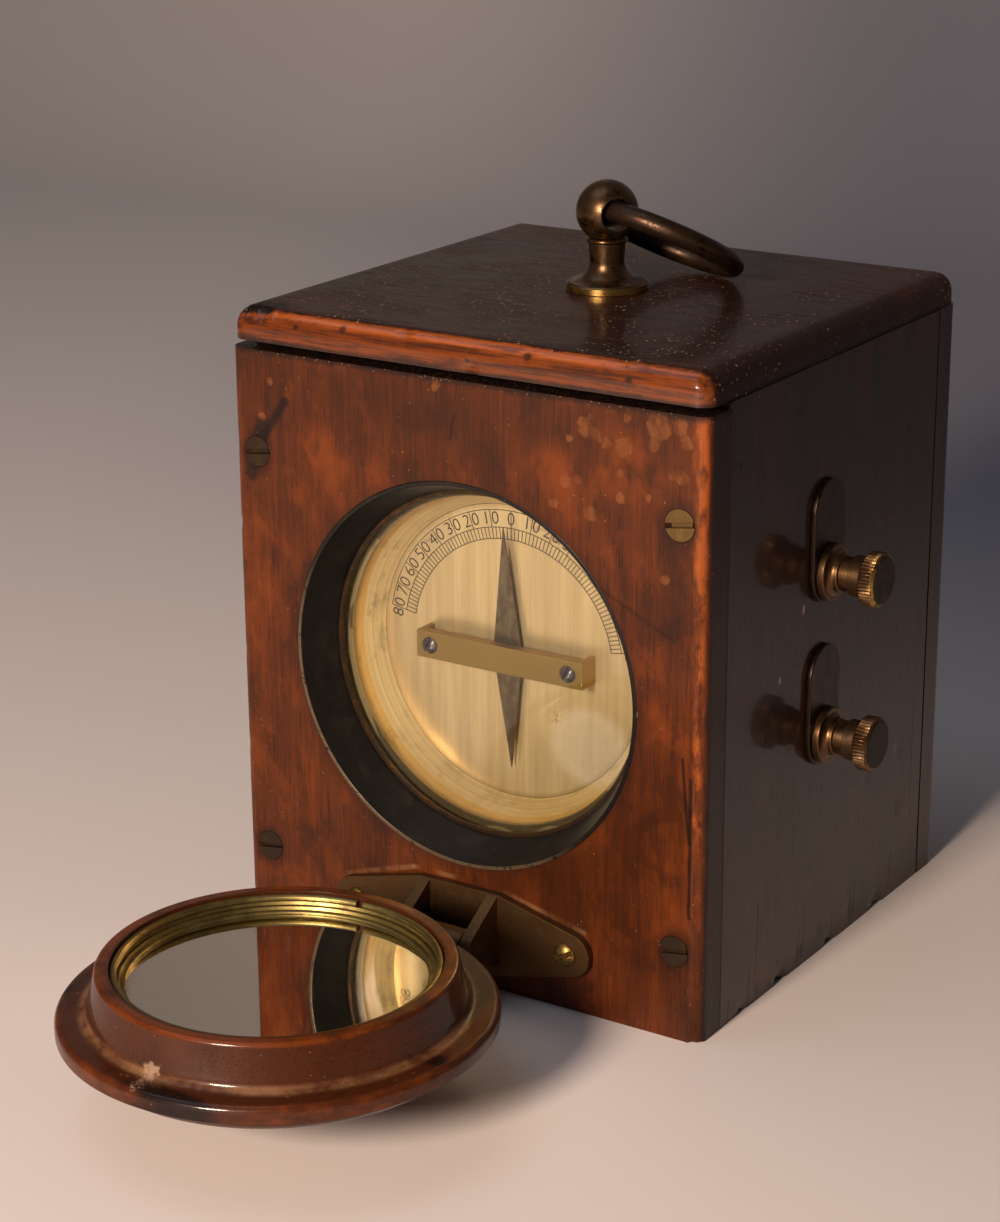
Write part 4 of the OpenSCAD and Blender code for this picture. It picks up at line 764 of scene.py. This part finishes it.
def clear_glass():
    """Thin window glass that shows dust and a faint pale patch of painted reflected light."""
    g = Graph("Dial glass")
    x, z = g.x, g.z - DIAL_Z
    streak = g.noise((x * 0.5, 0.0, z * 1.4), 3.0, 0.6)
    # Painted reflection: a faint pale patch on the lower right of the glass stands in for reflected light
    glare_patch = g.within(g.away(x, z, (21.5, -12.0), (9.0, 8.0)), 0.75, 1.05) * (0.04 + streak * 0.10)
    dust = g.within(g.cells((x * 0.7, 0.0, z * 0.7)), 0.02, 0.05) * 0.25
    clear = g.add("ShaderNodeBsdfTransparent", {}, {"Color": (0.97, 0.985, 0.965, 1.0)})
    dust_and_glare = g.add("ShaderNodeBsdfDiffuse", {}, {"Color": (0.70, 0.66, 0.55, 1.0)})
    gloss = g.add("ShaderNodeBsdfGlossy", {}, {"Color": (1.0, 1.0, 1.0, 1.0), "Roughness": 0.02})
    faced = g.add("ShaderNodeFresnel", {}, {"IOR": 1.3})
    under = g.add("ShaderNodeMixShader", {}, {0: glare_patch + dust, 1: clear.outputs[0], 2: dust_and_glare.outputs[0]})
    over = g.add("ShaderNodeMixShader", {}, {0: faced.outputs[0], 1: under.outputs[0], 2: gloss.outputs[0]})
    return g.end(over.outputs[0])


def silvered(look):
    """Mirror with a faint film and a few specks near its edge."""
    g = Graph("Old silvering")
    radius = g.away(g.x, g.y, (0.0, COVER_Y))
    film = g.noise(g.at(0.12, 0.12, 0.0), 3.0, 0.6)
    speck = g.within(g.cells(g.at(0.6, 0.6, 0.0)), 0.04, 0.10) * g.fade(film, 0.45, 0.6)
    edge = g.fade(radius, 23.6, 26.1) * g.fade(film, 0.40, 0.62)
    spoiled = speck.most(edge * 0.5)
    colour = g.mix(spoiled * 0.6, look.mirror, look.mirror_spoiled)
    return g.surface(colour, 0.02 + film * 0.03 + spoiled * 0.2, metallic=1.0)


def coil_silk(look):
    """Silk-covered wire, a shade of green with darker grooves."""
    g = Graph("Green silk winding")
    strand = g.noise(g.at(3.5, 0.4, 0.4), 2.0, 0.5)
    thread = g.noise(g.at(9.0, 6.0, 6.0), 2.0, 0.6)
    colour = g.mix(g.fade(strand + thread * 0.4, 0.45, 0.9), look.silk, look.silk_light)
    return g.surface(colour, 0.72 + thread * 0.15, g.bump(thread, 0.05, 0.8), sheen_weight=0.3)


def ebonite(look):
    """Hard black rubber, browned a little by age."""
    g = Graph("Ebonite bobbin")
    patch = g.noise(g.at(0.3), 4.0, 0.6)
    colour = g.mix(g.fade(patch, 0.38, 0.68), look.rubber, look.rubber_brown)
    return g.surface(colour, 0.36 + patch * 0.2, g.bump(patch, 0.03, 0.5))


# Shapes


def merged_copy(node, flat=1.0):
    """A node's solid with its triangles joined and its flat faces made whole."""
    bm = bmesh.new()
    bm.from_mesh(frame["nodes"][node].data)
    bmesh.ops.remove_doubles(bm, verts=bm.verts, dist=WELD)
    bmesh.ops.dissolve_limit(bm, angle_limit=math.radians(flat), verts=bm.verts, edges=bm.edges)
    return bm


def board_edge(edge):
    """Whether an edge is long enough to be a board's own, and not one of the short steps round a hole."""
    return edge.calc_length() > 5 * MM


def soften(bm, width, sharper=32.0, segments=2, keep=None):
    """Bevels the outer edges that are sharper than an angle."""
    limit = math.radians(sharper)
    edges = [e for e in bm.edges if len(e.link_faces) == 2 and e.calc_face_angle_signed(0.0) > limit]
    bmesh.ops.bevel(
        bm, geom=[e for e in edges if keep is None or keep(e)], offset=width, offset_type="OFFSET",
        segments=segments, profile=0.5, affect="EDGES", clamp_overlap=True, loop_slide=True, material=-1,
    )


def cut(bm, place, way):
    """Adds edges where a plane crosses a shape."""
    geometry = bm.verts[:] + bm.edges[:] + bm.faces[:]
    bmesh.ops.bisect_plane(bm, geom=geometry, dist=WELD, plane_co=place, plane_no=way)


def slice_up(bm, step):
    """Cuts a shape across all three axes, so that its faces can follow small unevenness."""
    for axis in range(3):
        way = Vector([float(i == axis) for i in range(3)])
        low = min(v.co[axis] for v in bm.verts)
        high = max(v.co[axis] for v in bm.verts)
        count = max(1, round((high - low) / (step * MM)))
        for i in range(1, count):
            cut(bm, way * (low + (high - low) * i / count), way)


def press(bm, depth_at, along=lambda v: v.normal):
    """Sinks each point, against its normal, by the depth in metres that a function gives for it."""
    bm.normal_update()
    moves = [along(v) * -depth_at(v) for v in bm.verts]
    for v, move in zip(bm.verts, moves):
        v.co += move


def weather(bm, depth, size, seed):
    """Sinks the faces by a smooth uneven depth."""
    shift = Vector((seed, seed * 2, seed * 3))
    press(bm, lambda v: depth * (0.5 + 0.5 * noise.noise(v.co / (size * MM) + shift)))


def dent(bm, place, radius, depth, seed=0.0, grain=0.9):
    """Presses a rough hollow into a shape, after adding the faces that it needs."""
    centre = Vector(place) * MM
    reach = radius * MM
    near = [e for e in bm.edges if max((v.co - centre).length for v in e.verts) < reach * 2.2]
    bmesh.ops.subdivide_edges(bm, edges=near, cuts=2, use_grid_fill=True)

    def hollow(v):
        away = (v.co - centre).length / reach
        if away >= 1.0:
            return 0.0
        rough = 0.75 + 0.5 * noise.noise(v.co / (grain * MM) + Vector((seed, 0, 0)))
        return depth * MM * rough * (1 - away * away) ** 2

    press(bm, hollow)


def shown(thing):
    """Puts an object in the scene."""
    bpy.context.scene.collection.objects.link(thing)
    return thing


def made_object(name, bm, material):
    """Object in the scene for a finished shape, smooth all over."""
    for face in bm.faces:
        face.smooth = True
        face.material_index = 0
    mesh = bpy.data.meshes.new(name)
    bm.to_mesh(mesh)
    bm.free()
    mesh.materials.append(material)
    return shown(bpy.data.objects.new(name, mesh))


def new_piece(name, bm, material, body, stands_for=(), sharp=38.0):
    """Makes a shape into a finished piece that rides on a body and stands for its nodes."""
    limit = math.radians(sharp)
    for edge in bm.edges:
        edge.smooth = len(edge.link_faces) != 2 or edge.calc_face_angle(0.0) < limit
    piece = made_object(name, bm, material)
    shading = piece.modifiers.new("Even shading", "WEIGHTED_NORMAL")
    shading.keep_sharp = True
    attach(piece, body)
    if stands_for:
        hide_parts(*stands_for)
    return piece


def finish_node(node, bm, material):
    """Piece that takes the place of one node and stays within its box."""
    low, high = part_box(node)
    for v in bm.verts:
        v.co = [min(max(v.co[i], low[i]), high[i]) for i in range(3)]
    return new_piece("galvo_" + node, bm, material, BODY_OF[node], (node,))


def dress(material, *nodes, edge, sharper=32.0, segments=2):
    """Finished copies of nodes, with their outer edges broken to a width in metres."""
    for node in nodes:
        bm = merged_copy(node)
        if edge > 0.0:
            soften(bm, edge, sharper, segments)
        finish_node(node, bm, material)


# Operators, one for each piece or group


class GALVO_OT_case_boards(bpy.types.Operator):
    """Front, back, side and base boards with softened, uneven, knocked edges."""

    bl_idname = "galvo.case_boards"
    bl_label = "Case boards"

    # Knocks in millimetres: X, distance behind the front face, Z, radius and depth
    front_knocks = (
        (49.2, 0.0, 1.2, 2.6, 0.7), (48.6, 0.0, 23.0, 2.4, 0.4), (-49.0, 0.5, 5.0, 2.2, 0.4),
        (49.6, 0.7, 86.0, 1.8, 0.3), (49.6, 0.6, 77.5, 1.5, 0.3), (49.6, 0.7, 60.5, 1.8, 0.35),
        (49.5, 0.6, 48.0, 1.6, 0.3), (49.5, 0.6, 36.0, 1.8, 0.3), (-49.8, 0.2, 81.0, 1.8, 0.35),
        (-49.8, 0.2, 56.0, 1.5, 0.3), (-49.8, 0.2, 37.0, 1.8, 0.3), (-49.8, 0.2, 96.0, 1.5, 0.25),
    )
    # Y, Z, radius and depth
    right_knocks = (
        (-18.0, 0.6, 2.8, 0.8), (2.0, 0.4, 2.4, 0.7), (22.0, 0.6, 3.2, 0.8), (-33.0, 0.4, 2.0, 0.6),
        (-10.8, 3.6, 2.2, 0.45), (10.8, 4.0, 2.2, 0.4), (-16.7, 109.3, 2.0, 0.2), (11.0, 58.6, 1.8, 0.15),
        (-24.0, 40.0, 2.2, 0.15), (30.0, 30.0, 2.5, 0.2), (28.0, 96.0, 2.0, 0.15),
    )
    left_knocks = ((8.0, 0.5, 2.8, 0.7), (-25.0, 0.5, 2.2, 0.6))
    # X, Z, radius and depth
    back_knocks = ((49.0, 2.0, 3.0, 0.8), (-49.2, 1.0, 2.6, 0.7))

    def execute(self, context):
        look = context.scene.galvo_wood
        front, side = front_wood(look), side_wood(look)
        knocks = {
            "front_panel": [((x, FRONT_Y + behind, z), *size) for x, behind, z, *size in self.front_knocks],
            "right_side": [((RIGHT_X, y, z), *size) for y, z, *size in self.right_knocks],
            "back_panel": [((x, BACK_Y, z), *size) for x, z, *size in self.back_knocks],
            "left_side": [((LEFT_X, y, z), *size) for y, z, *size in self.left_knocks],
            "base_board": [],
        }
        for i, (node, marks) in enumerate(knocks.items()):
            bm = merged_copy(node)
            soften(bm, look.arris, sharper=50.0, segments=3, keep=board_edge)
            slice_up(bm, step=3.0)
            weather(bm, look.unevenness, size=17.0, seed=3.7 * i)
            weather(bm, look.unevenness * 0.4, size=5.0, seed=3.7 * i + 1.0)
            for place, radius, depth in marks:
                dent(bm, place, radius, depth, i)
            finish_node(node, bm, front if node == "front_panel" else side)
        return {"FINISHED"}


class GALVO_OT_lid(bpy.types.Operator):
    """Lid with a rounded, worn edge and a chipped corner."""

    bl_idname = "galvo.lid"
    bl_label = "Lid"

    # Chips in millimetres: X, distances behind the front face and below the top, radius and depth
    edge_chips = (
        (-47.2, 1.0, 1.0, 3.4, 1.0), (-43.0, 1.0, 0.9, 2.6, 0.7), (-39.0, 1.2, 0.8, 2.0, 0.35),
        (14.0, 0.6, 1.8, 1.8, 0.3), (48.8, 1.4, 1.6, 2.0, 0.35), (3.0, 0.0, 4.6, 1.8, 0.4),
        (32.0, 1.6, 0.6, 2.4, 0.25), (-12.0, 1.4, 0.7, 2.2, 0.2),
    )
    # Hollows in the top: X, Y, radius and depth
    top_hollows = (
        (-22.0, 12.0, 6.0, 0.12), (24.0, 22.0, 5.0, 0.12), (-2.0, 34.0, 5.0, 0.14),
        (-34.0, -18.0, 5.0, 0.10), (26.0, -28.0, 6.0, 0.12),
    )

    def execute(self, context):
        look = context.scene.galvo_wood
        bm = merged_copy("lid")
        soften(bm, look.arris, sharper=60.0, keep=board_edge)
        slice_up(bm, step=2.5)
        weather(bm, look.unevenness, size=15.0, seed=11.0)
        weather(bm, look.unevenness * 0.6, size=4.5, seed=12.0)
        top = LID_HIGH.z
        for x, behind, below, radius, depth in self.edge_chips:
            dent(bm, (x, FRONT_Y + behind, top - below), radius, depth, x)
        for x, y, radius, depth in self.top_hollows:
            dent(bm, (x, y, top), radius, depth, x)
        finish_node("lid", bm, lid_wood(look))
        return {"FINISHED"}


class GALVO_OT_panel_screws(bpy.types.Operator):
    """Slotted wood screws of the front and back boards."""

    bl_idname = "galvo.panel_screws"
    bl_label = "Panel screws"

    def execute(self, context):
        look = context.scene.galvo_metal

        def upper_right(g):
            return g.fade(g.x, 30.0, 36.0) * g.fade(g.z, 60.0, 70.0) * 0.3

        finish = old_brass(
            "Screw brass", look, look.bronze, look.umber, patina=0.95, rough=0.36, polish=upper_right
        )
        dress(finish, "front_panel_screws", "back_panel_screws", edge=look.edge)
        return {"FINISHED"}


class GALVO_OT_lifting_ring(bpy.types.Operator):
    """Turned post with its ball, the ring through it, and the washer and nut under the lid."""

    bl_idname = "galvo.lifting_ring"
    bl_label = "Lifting ring"

    def execute(self, context):
        look = context.scene.galvo_metal

        def foot(g):
            return g.within(g.z, LID_HIGH.z + 0.7, LID_HIGH.z + 1.5) * 0.48

        def height(g):
            return g.z

        post = old_brass(
            "Post bronze", look, look.copper, look.umber, patina=0.48, rough=0.24, turned=height, polish=foot
        )
        ring = old_brass("Ring bronze", look, look.copper, look.bronze, patina=0.55, rough=0.27)
        plain = old_brass("Hidden nut brass", look, look.brass, look.gold, patina=0.4, rough=0.34)
        dress(post, "ring_post", edge=look.edge, sharper=40.0)
        dress(ring, "carrying_ring", edge=0.0)
        dress(plain, "ring_post_washer", "ring_post_nut", edge=look.edge)
        return {"FINISHED"}


class GALVO_OT_mirror_cover(bpy.types.Operator):
    """Turned cover with its mirror, stepped bezel and spring ring."""

    bl_idname = "galvo.mirror_cover"
    bl_label = "Mirror cover"

    def execute(self, context):
        look = context.scene.galvo_metal

        def radius(g):
            return g.away(g.x, g.y, (0.0, COVER_Y))

        tones = (look.straw, look.olive)
        bezel = old_brass("Bezel brass", look, *tones, patina=0.34, rough=0.34, turned=radius)
        spring = old_brass("Spring brass", look, *tones, patina=0.3, rough=0.34, turned=radius)
        dress(cover_wood(context.scene.galvo_wood), "cover_body", edge=0.12 * MM, sharper=40.0)
        dress(silvered(context.scene.galvo_dial), "cover_mirror", edge=0.2 * MM)
        dress(bezel, "mirror_bezel", edge=0.1 * MM)
        dress(spring, "mirror_spring_ring", edge=0.0)
        return {"FINISHED"}


class GALVO_OT_hinge(bpy.types.Operator):
    """Hinge bracket, pin and arm with their screws."""

    bl_idname = "galvo.hinge"
    bl_label = "Hinge"

    def execute(self, context):
        look = context.scene.galvo_metal
        dark = old_brass("Hinge bronze", look, look.copper, look.umber, patina=0.26, rough=0.44)
        bright = old_brass("Hinge screw brass", look, look.umber, look.brass, patina=0.34, rough=0.32)
        dress(dark, "hinge_bracket", "hinge_arm", edge=0.3 * MM, segments=3)
        dress(dark, "hinge_pin", edge=look.edge)
        dress(bright, "hinge_bracket_screws", "hinge_arm_screws", edge=look.edge)
        return {"FINISHED"}


class GALVO_OT_recess(bpy.types.Operator):
    """Lacquered lining, glass with its bezel, and the turned drum behind it."""

    bl_idname = "galvo.recess"
    bl_label = "Dial recess"

    def execute(self, context):
        look = context.scene.galvo_metal
        bezel = old_brass("Glass bezel brass", look, look.bronze, look.umber, patina=0.7, rough=0.32)
        screws = old_brass("Drum screw brass", look, look.brass, look.gold, patina=0.4, rough=0.32)
        dress(liner_lacquer(look), "bore_liner", edge=0.18 * MM, sharper=50.0)
        dress(bezel, "glass_bezel", edge=look.edge)
        dress(clear_glass(), "dial_glass", edge=0.2 * MM)
        dress(bowl_brass(look), "movement_drum", edge=0.15 * MM, sharper=25.0)
        dress(screws, "drum_screws", edge=look.edge)
        return {"FINISHED"}


class GALVO_OT_dial(bpy.types.Operator):
    """Gilt dial with its engraved scale, the bridge bar and the pointer."""

    bl_idname = "galvo.dial"
    bl_label = "Dial"

    # Degrees from the middle to either end of the scale, between ticks and between numbers
    reach = 80
    fine = 2
    coarse = 10
    # Half the step between two digits, and the font's digit height, as shares of a height
    digit_step = 0.40
    digit_share = 0.72
    # Change in millimetres to the width of the font's strokes
    stroke_offset = -0.035

    def execute(self, context):
        look, metal = context.scene.galvo_dial, context.scene.galvo_metal
        dress(dial_gilt(look), "dial_plate", edge=0.08 * MM)
        new_piece("galvo_scale", self.scale(look), scale_ink(look), BODY_OF["dial_plate"])
        bar = old_brass("Bridge brass", metal, metal.olive, metal.brass, patina=0.06, rough=0.36)
        dress(bar, "bridge_bar", edge=0.14 * MM)
        dress(steel(metal), "bridge_screws", edge=0.1 * MM)
        dress(pointer_metal(metal), "pointer", edge=0.06 * MM)
        return {"FINISHED"}

    def scale(self, look):
        """Ticks, lines and numbers, laid on the plate as thin ink."""
        bm = bmesh.new()
        for degrees in range(-self.reach, self.reach + 1, self.fine):
            whole = degrees % self.coarse == 0
            self.line(bm, look, degrees, look.tick_in, look.border_r if whole else look.tick_out)
        for radius in (look.tick_in, look.tick_out, look.border_r):
            self.arc(bm, look, radius)
        spread = math.degrees(look.number_h * self.digit_step / look.number_r)
        for degrees in range(-self.reach, self.reach + 1, self.coarse):
            digits = str(abs(degrees))
            for i, digit in enumerate(digits):
                self.digit(bm, look, digit, degrees + (2 * i - len(digits) + 1) * spread)
        bmesh.ops.recalc_face_normals(bm, faces=bm.faces)
        bm.transform(Matrix.Translation((0.0, DIAL_LOW.y * MM - look.relief / 2, DIAL_Z * MM)))
        return bm

    def turned(self, degrees):
        """Turn about the dial's axis, clockwise from the top."""
        return Matrix.Rotation(math.radians(degrees), 4, "Y")

    def line(self, bm, look, degrees, inner, outer):
        size = Matrix.Diagonal((look.line, look.relief, outer - inner, 1.0))
        place = self.turned(degrees) @ Matrix.Translation((0.0, 0.0, (inner + outer) / 2)) @ size
        bmesh.ops.create_cube(bm, size=1.0, matrix=place)

    def arc(self, bm, look, radius):
        part = bmesh.new()
        half, deep = look.line / 2, look.relief / 2
        section = ((-half, -deep), (half, -deep), (half, deep), (-half, deep))
        face = part.faces.new([part.verts.new((0.0, y, radius + r)) for r, y in section])
        part.transform(self.turned(-self.reach))
        bmesh.ops.spin(
            part, geom=[face], cent=(0, 0, 0), axis=(0, 1, 0), dvec=(0, 0, 0),
            angle=math.radians(2 * self.reach), steps=self.reach,
        )
        bmesh.ops.recalc_face_normals(part, faces=part.faces)
        self.join(bm, part)

    def digit(self, bm, look, digit, degrees):
        letters = bpy.data.curves.new("numeral", "FONT")
        letters.body = digit
        letters.align_x, letters.align_y = "CENTER", "CENTER"
        letters.size = look.number_h / self.digit_share
        letters.extrude = look.relief / 2
        letters.offset = self.stroke_offset * MM
        letters.resolution_u = 4
        written = shown(bpy.data.objects.new("numeral", letters))
        part = bmesh.new()
        part.from_mesh(written.to_mesh())
        written.to_mesh_clear()
        bpy.data.objects.remove(written)
        bpy.data.curves.remove(letters)
        bmesh.ops.remove_doubles(part, verts=part.verts, dist=WELD)
        upright = Matrix.Rotation(math.radians(90), 4, "X")
        part.transform(self.turned(degrees) @ Matrix.Translation((0.0, 0.0, look.number_r)) @ upright)
        self.join(bm, part)

    def join(self, bm, part):
        """Adds a part to the scale, by way of a mesh."""
        mesh = bpy.data.meshes.new("part")
        part.to_mesh(mesh)
        part.free()
        bm.from_mesh(mesh)
        bpy.data.meshes.remove(mesh)


class GALVO_OT_movement(bpy.types.Operator):
    """Needle arbor, magnet, coils, pillars, cock and leads behind the dial."""

    bl_idname = "galvo.movement"
    bl_label = "Movement"

    def execute(self, context):
        look, coils = context.scene.galvo_metal, context.scene.galvo_coils
        dress(steel(look), "pointer_arbor", "magnet_needle", "back_cock_screws", edge=0.08 * MM)
        plain = old_brass("Movement brass", look, look.brass, look.gold, patina=0.3, rough=0.3)
        dress(plain, "movement_pillars", "back_cock", edge=look.edge)
        dress(ebonite(coils), "left_bobbin", "right_bobbin", edge=0.12 * MM)
        silk = coil_silk(coils)
        for node in ("left_winding", "right_winding"):
            finish_node(node, self.turns(node, coils.wire / MM), silk)
        dress(silk, "upper_lead_wire", "lower_lead_wire", edge=0.0)
        return {"FINISHED"}

    def turns(self, node, wire, corner=0.6, groove=0.12):
        """The block of a winding with a groove between its turns, all in millimetres."""
        low, high = span(node)
        bm = merged_copy(node)
        soften(bm, corner * MM, sharper=60.0, segments=3)
        count = max(2, round((high.x - low.x) / wire))
        pitch = (high.x - low.x) / count * MM
        start = low.x * MM
        for i in range(2 * count):
            cut(bm, (start + pitch * (i / 2 + 0.25), 0, 0), (1, 0, 0))

        def hollow(v):
            phase = (v.co.x - start) / pitch
            return groove * MM * (0.5 + 0.5 * math.cos(math.tau * phase))

        press(bm, hollow, lambda v: Vector((0.0, v.normal.y, v.normal.z)))
        return bm


class GALVO_OT_terminals(bpy.types.Operator):
    """Both terminals: plate, turned post, clamp collar, knurled thumb nut and the fixings inside."""

    bl_idname = "galvo.terminals"
    bl_label = "Terminals"

    def execute(self, context):
        look = context.scene.galvo_metal
        end = span("upper_thumb_nut")[1].x

        def across(g):
            return g.x

        def end_face(g):
            return g.fade(g.x, end - 0.3, end - 0.1).most(g.within(g.x, end - 3.3, end - 2.9) * 0.45)

        def end_edge(g):
            rubbed = g.fade(g.noise(g.at(0.6, 0.35, 0.35), 3.0, 0.6), 0.46, 0.60)
            return g.fade(g.x, end - 1.5, end - 0.9) * rubbed * (0.12 + g.fade(g.z, 55.0, 65.0) * 0.55)

        plate = old_brass("Terminal plate bronze", look, look.slate, look.bronze, patina=0.4, rough=0.32)
        post = old_brass(
            "Terminal post brass", look, look.copper, look.umber, patina=0.36, rough=0.32, turned=across
        )
        nut = old_brass(
            "Thumb nut brass", look, look.copper, look.umber, patina=0.45, rough=0.34, polish=end_edge,
            dull=end_face,
        )
        plain = old_brass("Inside fixing brass", look, look.brass, look.gold, patina=0.35, rough=0.32)
        for side in ("upper_", "lower_"):
            dress(plate, side + "terminal_plate", edge=0.25 * MM, segments=3)
            dress(post, side + "terminal_post", side + "clamp_collar", edge=look.edge, sharper=40.0)
            dress(nut, side + "thumb_nut", edge=0.07 * MM, sharper=40.0, segments=1)
            dress(plain, side + "inner_washer", side + "inner_nut", edge=look.edge)
        return {"FINISHED"}


class GALVO_OT_stage(bpy.types.Operator):
    """Pale floor that sweeps up behind, soft lamps and the camera."""

    bl_idname = "galvo.stage"
    bl_label = "Stage"

    # Place, target and width of each lamp, and the camera's target, in metres
    key_lamp = ((0.05, -0.85, 0.37), (-0.05, 0.0, 0.05), 0.2)
    fill_lamp = ((-0.35, -0.25, 1.1), (0.0, 0.0, 0.0), 0.8)
    camera_target = (-0.023176, 0.0, 0.054371)
    # Colours of cool light
    fill_light = (0.74, 0.84, 1.0)
    room_light = (0.70, 0.80, 1.0, 1.0)

    def execute(self, context):
        look = context.scene.galvo_stage
        self.sweep(look)
        self.lamp("Key lamp", *self.key_lamp, look.key_power, linear(look.key)[:3])
        self.lamp("Fill lamp", *self.fill_lamp, look.fill_power, self.fill_light)
        self.room(look)
        self.camera(look)
        context.scene.view_settings.view_transform = "Standard"
        return {"FINISHED"}

    def sweep(self, look, wide=4.0, ahead=2.5, behind=0.55, bend=0.45, tall=2.2):
        """Floor and backdrop as one sheet with a round bend between them."""
        bm = bmesh.new()
        verts = [bm.verts.new((-wide / 2, y, 0.0)) for y in (-ahead, behind)]
        bm.edges.new(verts)
        turned = bmesh.ops.spin(
            bm, geom=[verts[1]], cent=(0.0, behind, bend), axis=(1, 0, 0), dvec=(0, 0, 0),
            angle=math.radians(90), steps=24,
        )["geom_last"]
        last = next(item for item in turned if isinstance(item, bmesh.types.BMVert))
        top = bmesh.ops.extrude_vert_indiv(bm, verts=[last])["verts"]
        bmesh.ops.translate(bm, vec=(0, 0, tall), verts=top)
        made = bmesh.ops.extrude_edge_only(bm, edges=bm.edges[:])["geom"]
        across = [item for item in made if isinstance(item, bmesh.types.BMVert)]
        bmesh.ops.translate(bm, vec=(wide, 0, 0), verts=across)
        bmesh.ops.recalc_face_normals(bm, faces=bm.faces)
        made_object("stage_sweep", bm, self.paper(look))

    def paper(self, look):
        """Pale paper, with painted shade behind on the right."""
        g = Graph("Stage paper")
        grain = g.noise(g.at(0.02), 3.0, 0.6)
        colour = g.mix(grain * 0.12, look.floor, [c * 0.97 for c in look.floor])
        # Painted shadow and fall-off: the paper darkens behind the case and towards the right
        shaded = g.fade(g.x + g.y * 0.45, -260.0, 70.0) * g.fade(g.y, 60.0, 330.0)
        return g.surface(g.mix(shaded, colour, look.far), 0.62, specular_ior_level=0.25)

    def lamp(self, name, place, target, size, watts, colour):
        data = bpy.data.lights.new(name, "AREA")
        data.shape = "DISK"
        data.size = size
        data.energy = watts
        data.color = colour
        lamp = shown(bpy.data.objects.new(name, data))
        lamp.location = place
        lamp.rotation_euler = (Vector(target) - Vector(place)).to_track_quat("-Z", "Y").to_euler()

    def room(self, look):
        world = bpy.data.worlds.new("Studio room")
        world.use_nodes = True
        background = next(n for n in world.node_tree.nodes if n.bl_idname == "ShaderNodeBackground")
        background.inputs["Color"].default_value = self.room_light
        background.inputs["Strength"].default_value = look.world
        bpy.context.scene.world = world

    def camera(self, look):
        a, e, r = look.azimuth, look.elevation, look.roll
        back = Vector((math.sin(a) * math.cos(e), -math.cos(a) * math.cos(e), math.sin(e)))
        right = Vector((math.cos(a), math.sin(a), 0.0))
        up = back.cross(right)
        right, up = right * math.cos(r) + up * math.sin(r), up * math.cos(r) - right * math.sin(r)
        data = bpy.data.cameras.new("Camera")
        data.sensor_width = 36.0
        data.lens = look.lens
        data.clip_start = 0.01
        camera = shown(bpy.data.objects.new("Camera", data))
        turn = Matrix((right, up, back)).transposed().to_4x4()
        camera.matrix_world = Matrix.Translation(Vector(self.camera_target) + back * look.distance) @ turn
        bpy.context.scene.camera = camera


class GALVO_PT_sidebar(bpy.types.Panel):
    """Lists the pieces of the galvanometer and their looks."""

    bl_idname = "GALVO_PT_sidebar"
    bl_label = "Galvanometer"
    bl_space_type = "VIEW_3D"
    bl_region_type = "UI"
    bl_category = "Galvanometer"

    def draw(self, context):
        for operator in OPERATORS:
            self.layout.operator(operator.bl_idname)
        for key in LOOKS:
            look = getattr(context.scene, key)
            box = self.layout.box()
            for name in look.__annotations__:
                box.prop(look, name)


LOOKS = {
    "galvo_wood": GalvoWood, "galvo_metal": GalvoMetal, "galvo_dial": GalvoDial, "galvo_coils": GalvoCoils,
    "galvo_stage": GalvoStage,
}
OPERATORS = (
    GALVO_OT_case_boards, GALVO_OT_lid, GALVO_OT_panel_screws, GALVO_OT_lifting_ring, GALVO_OT_mirror_cover,
    GALVO_OT_hinge, GALVO_OT_recess, GALVO_OT_dial, GALVO_OT_movement, GALVO_OT_terminals, GALVO_OT_stage,
)


def register():
    for cls in (*LOOKS.values(), *OPERATORS, GALVO_PT_sidebar):
        bpy.utils.register_class(cls)
    for key, cls in LOOKS.items():
        setattr(bpy.types.Scene, key, bpy.props.PointerProperty(type=cls))


def unregister():
    for key in LOOKS:
        delattr(bpy.types.Scene, key)
    for cls in reversed((*LOOKS.values(), *OPERATORS, GALVO_PT_sidebar)):
        bpy.utils.unregister_class(cls)


def main():
    register()
    for operator in OPERATORS:
        group, name = operator.bl_idname.split(".")
        getattr(getattr(bpy.ops, group), name)()


if __name__ == "__main__":
    main()
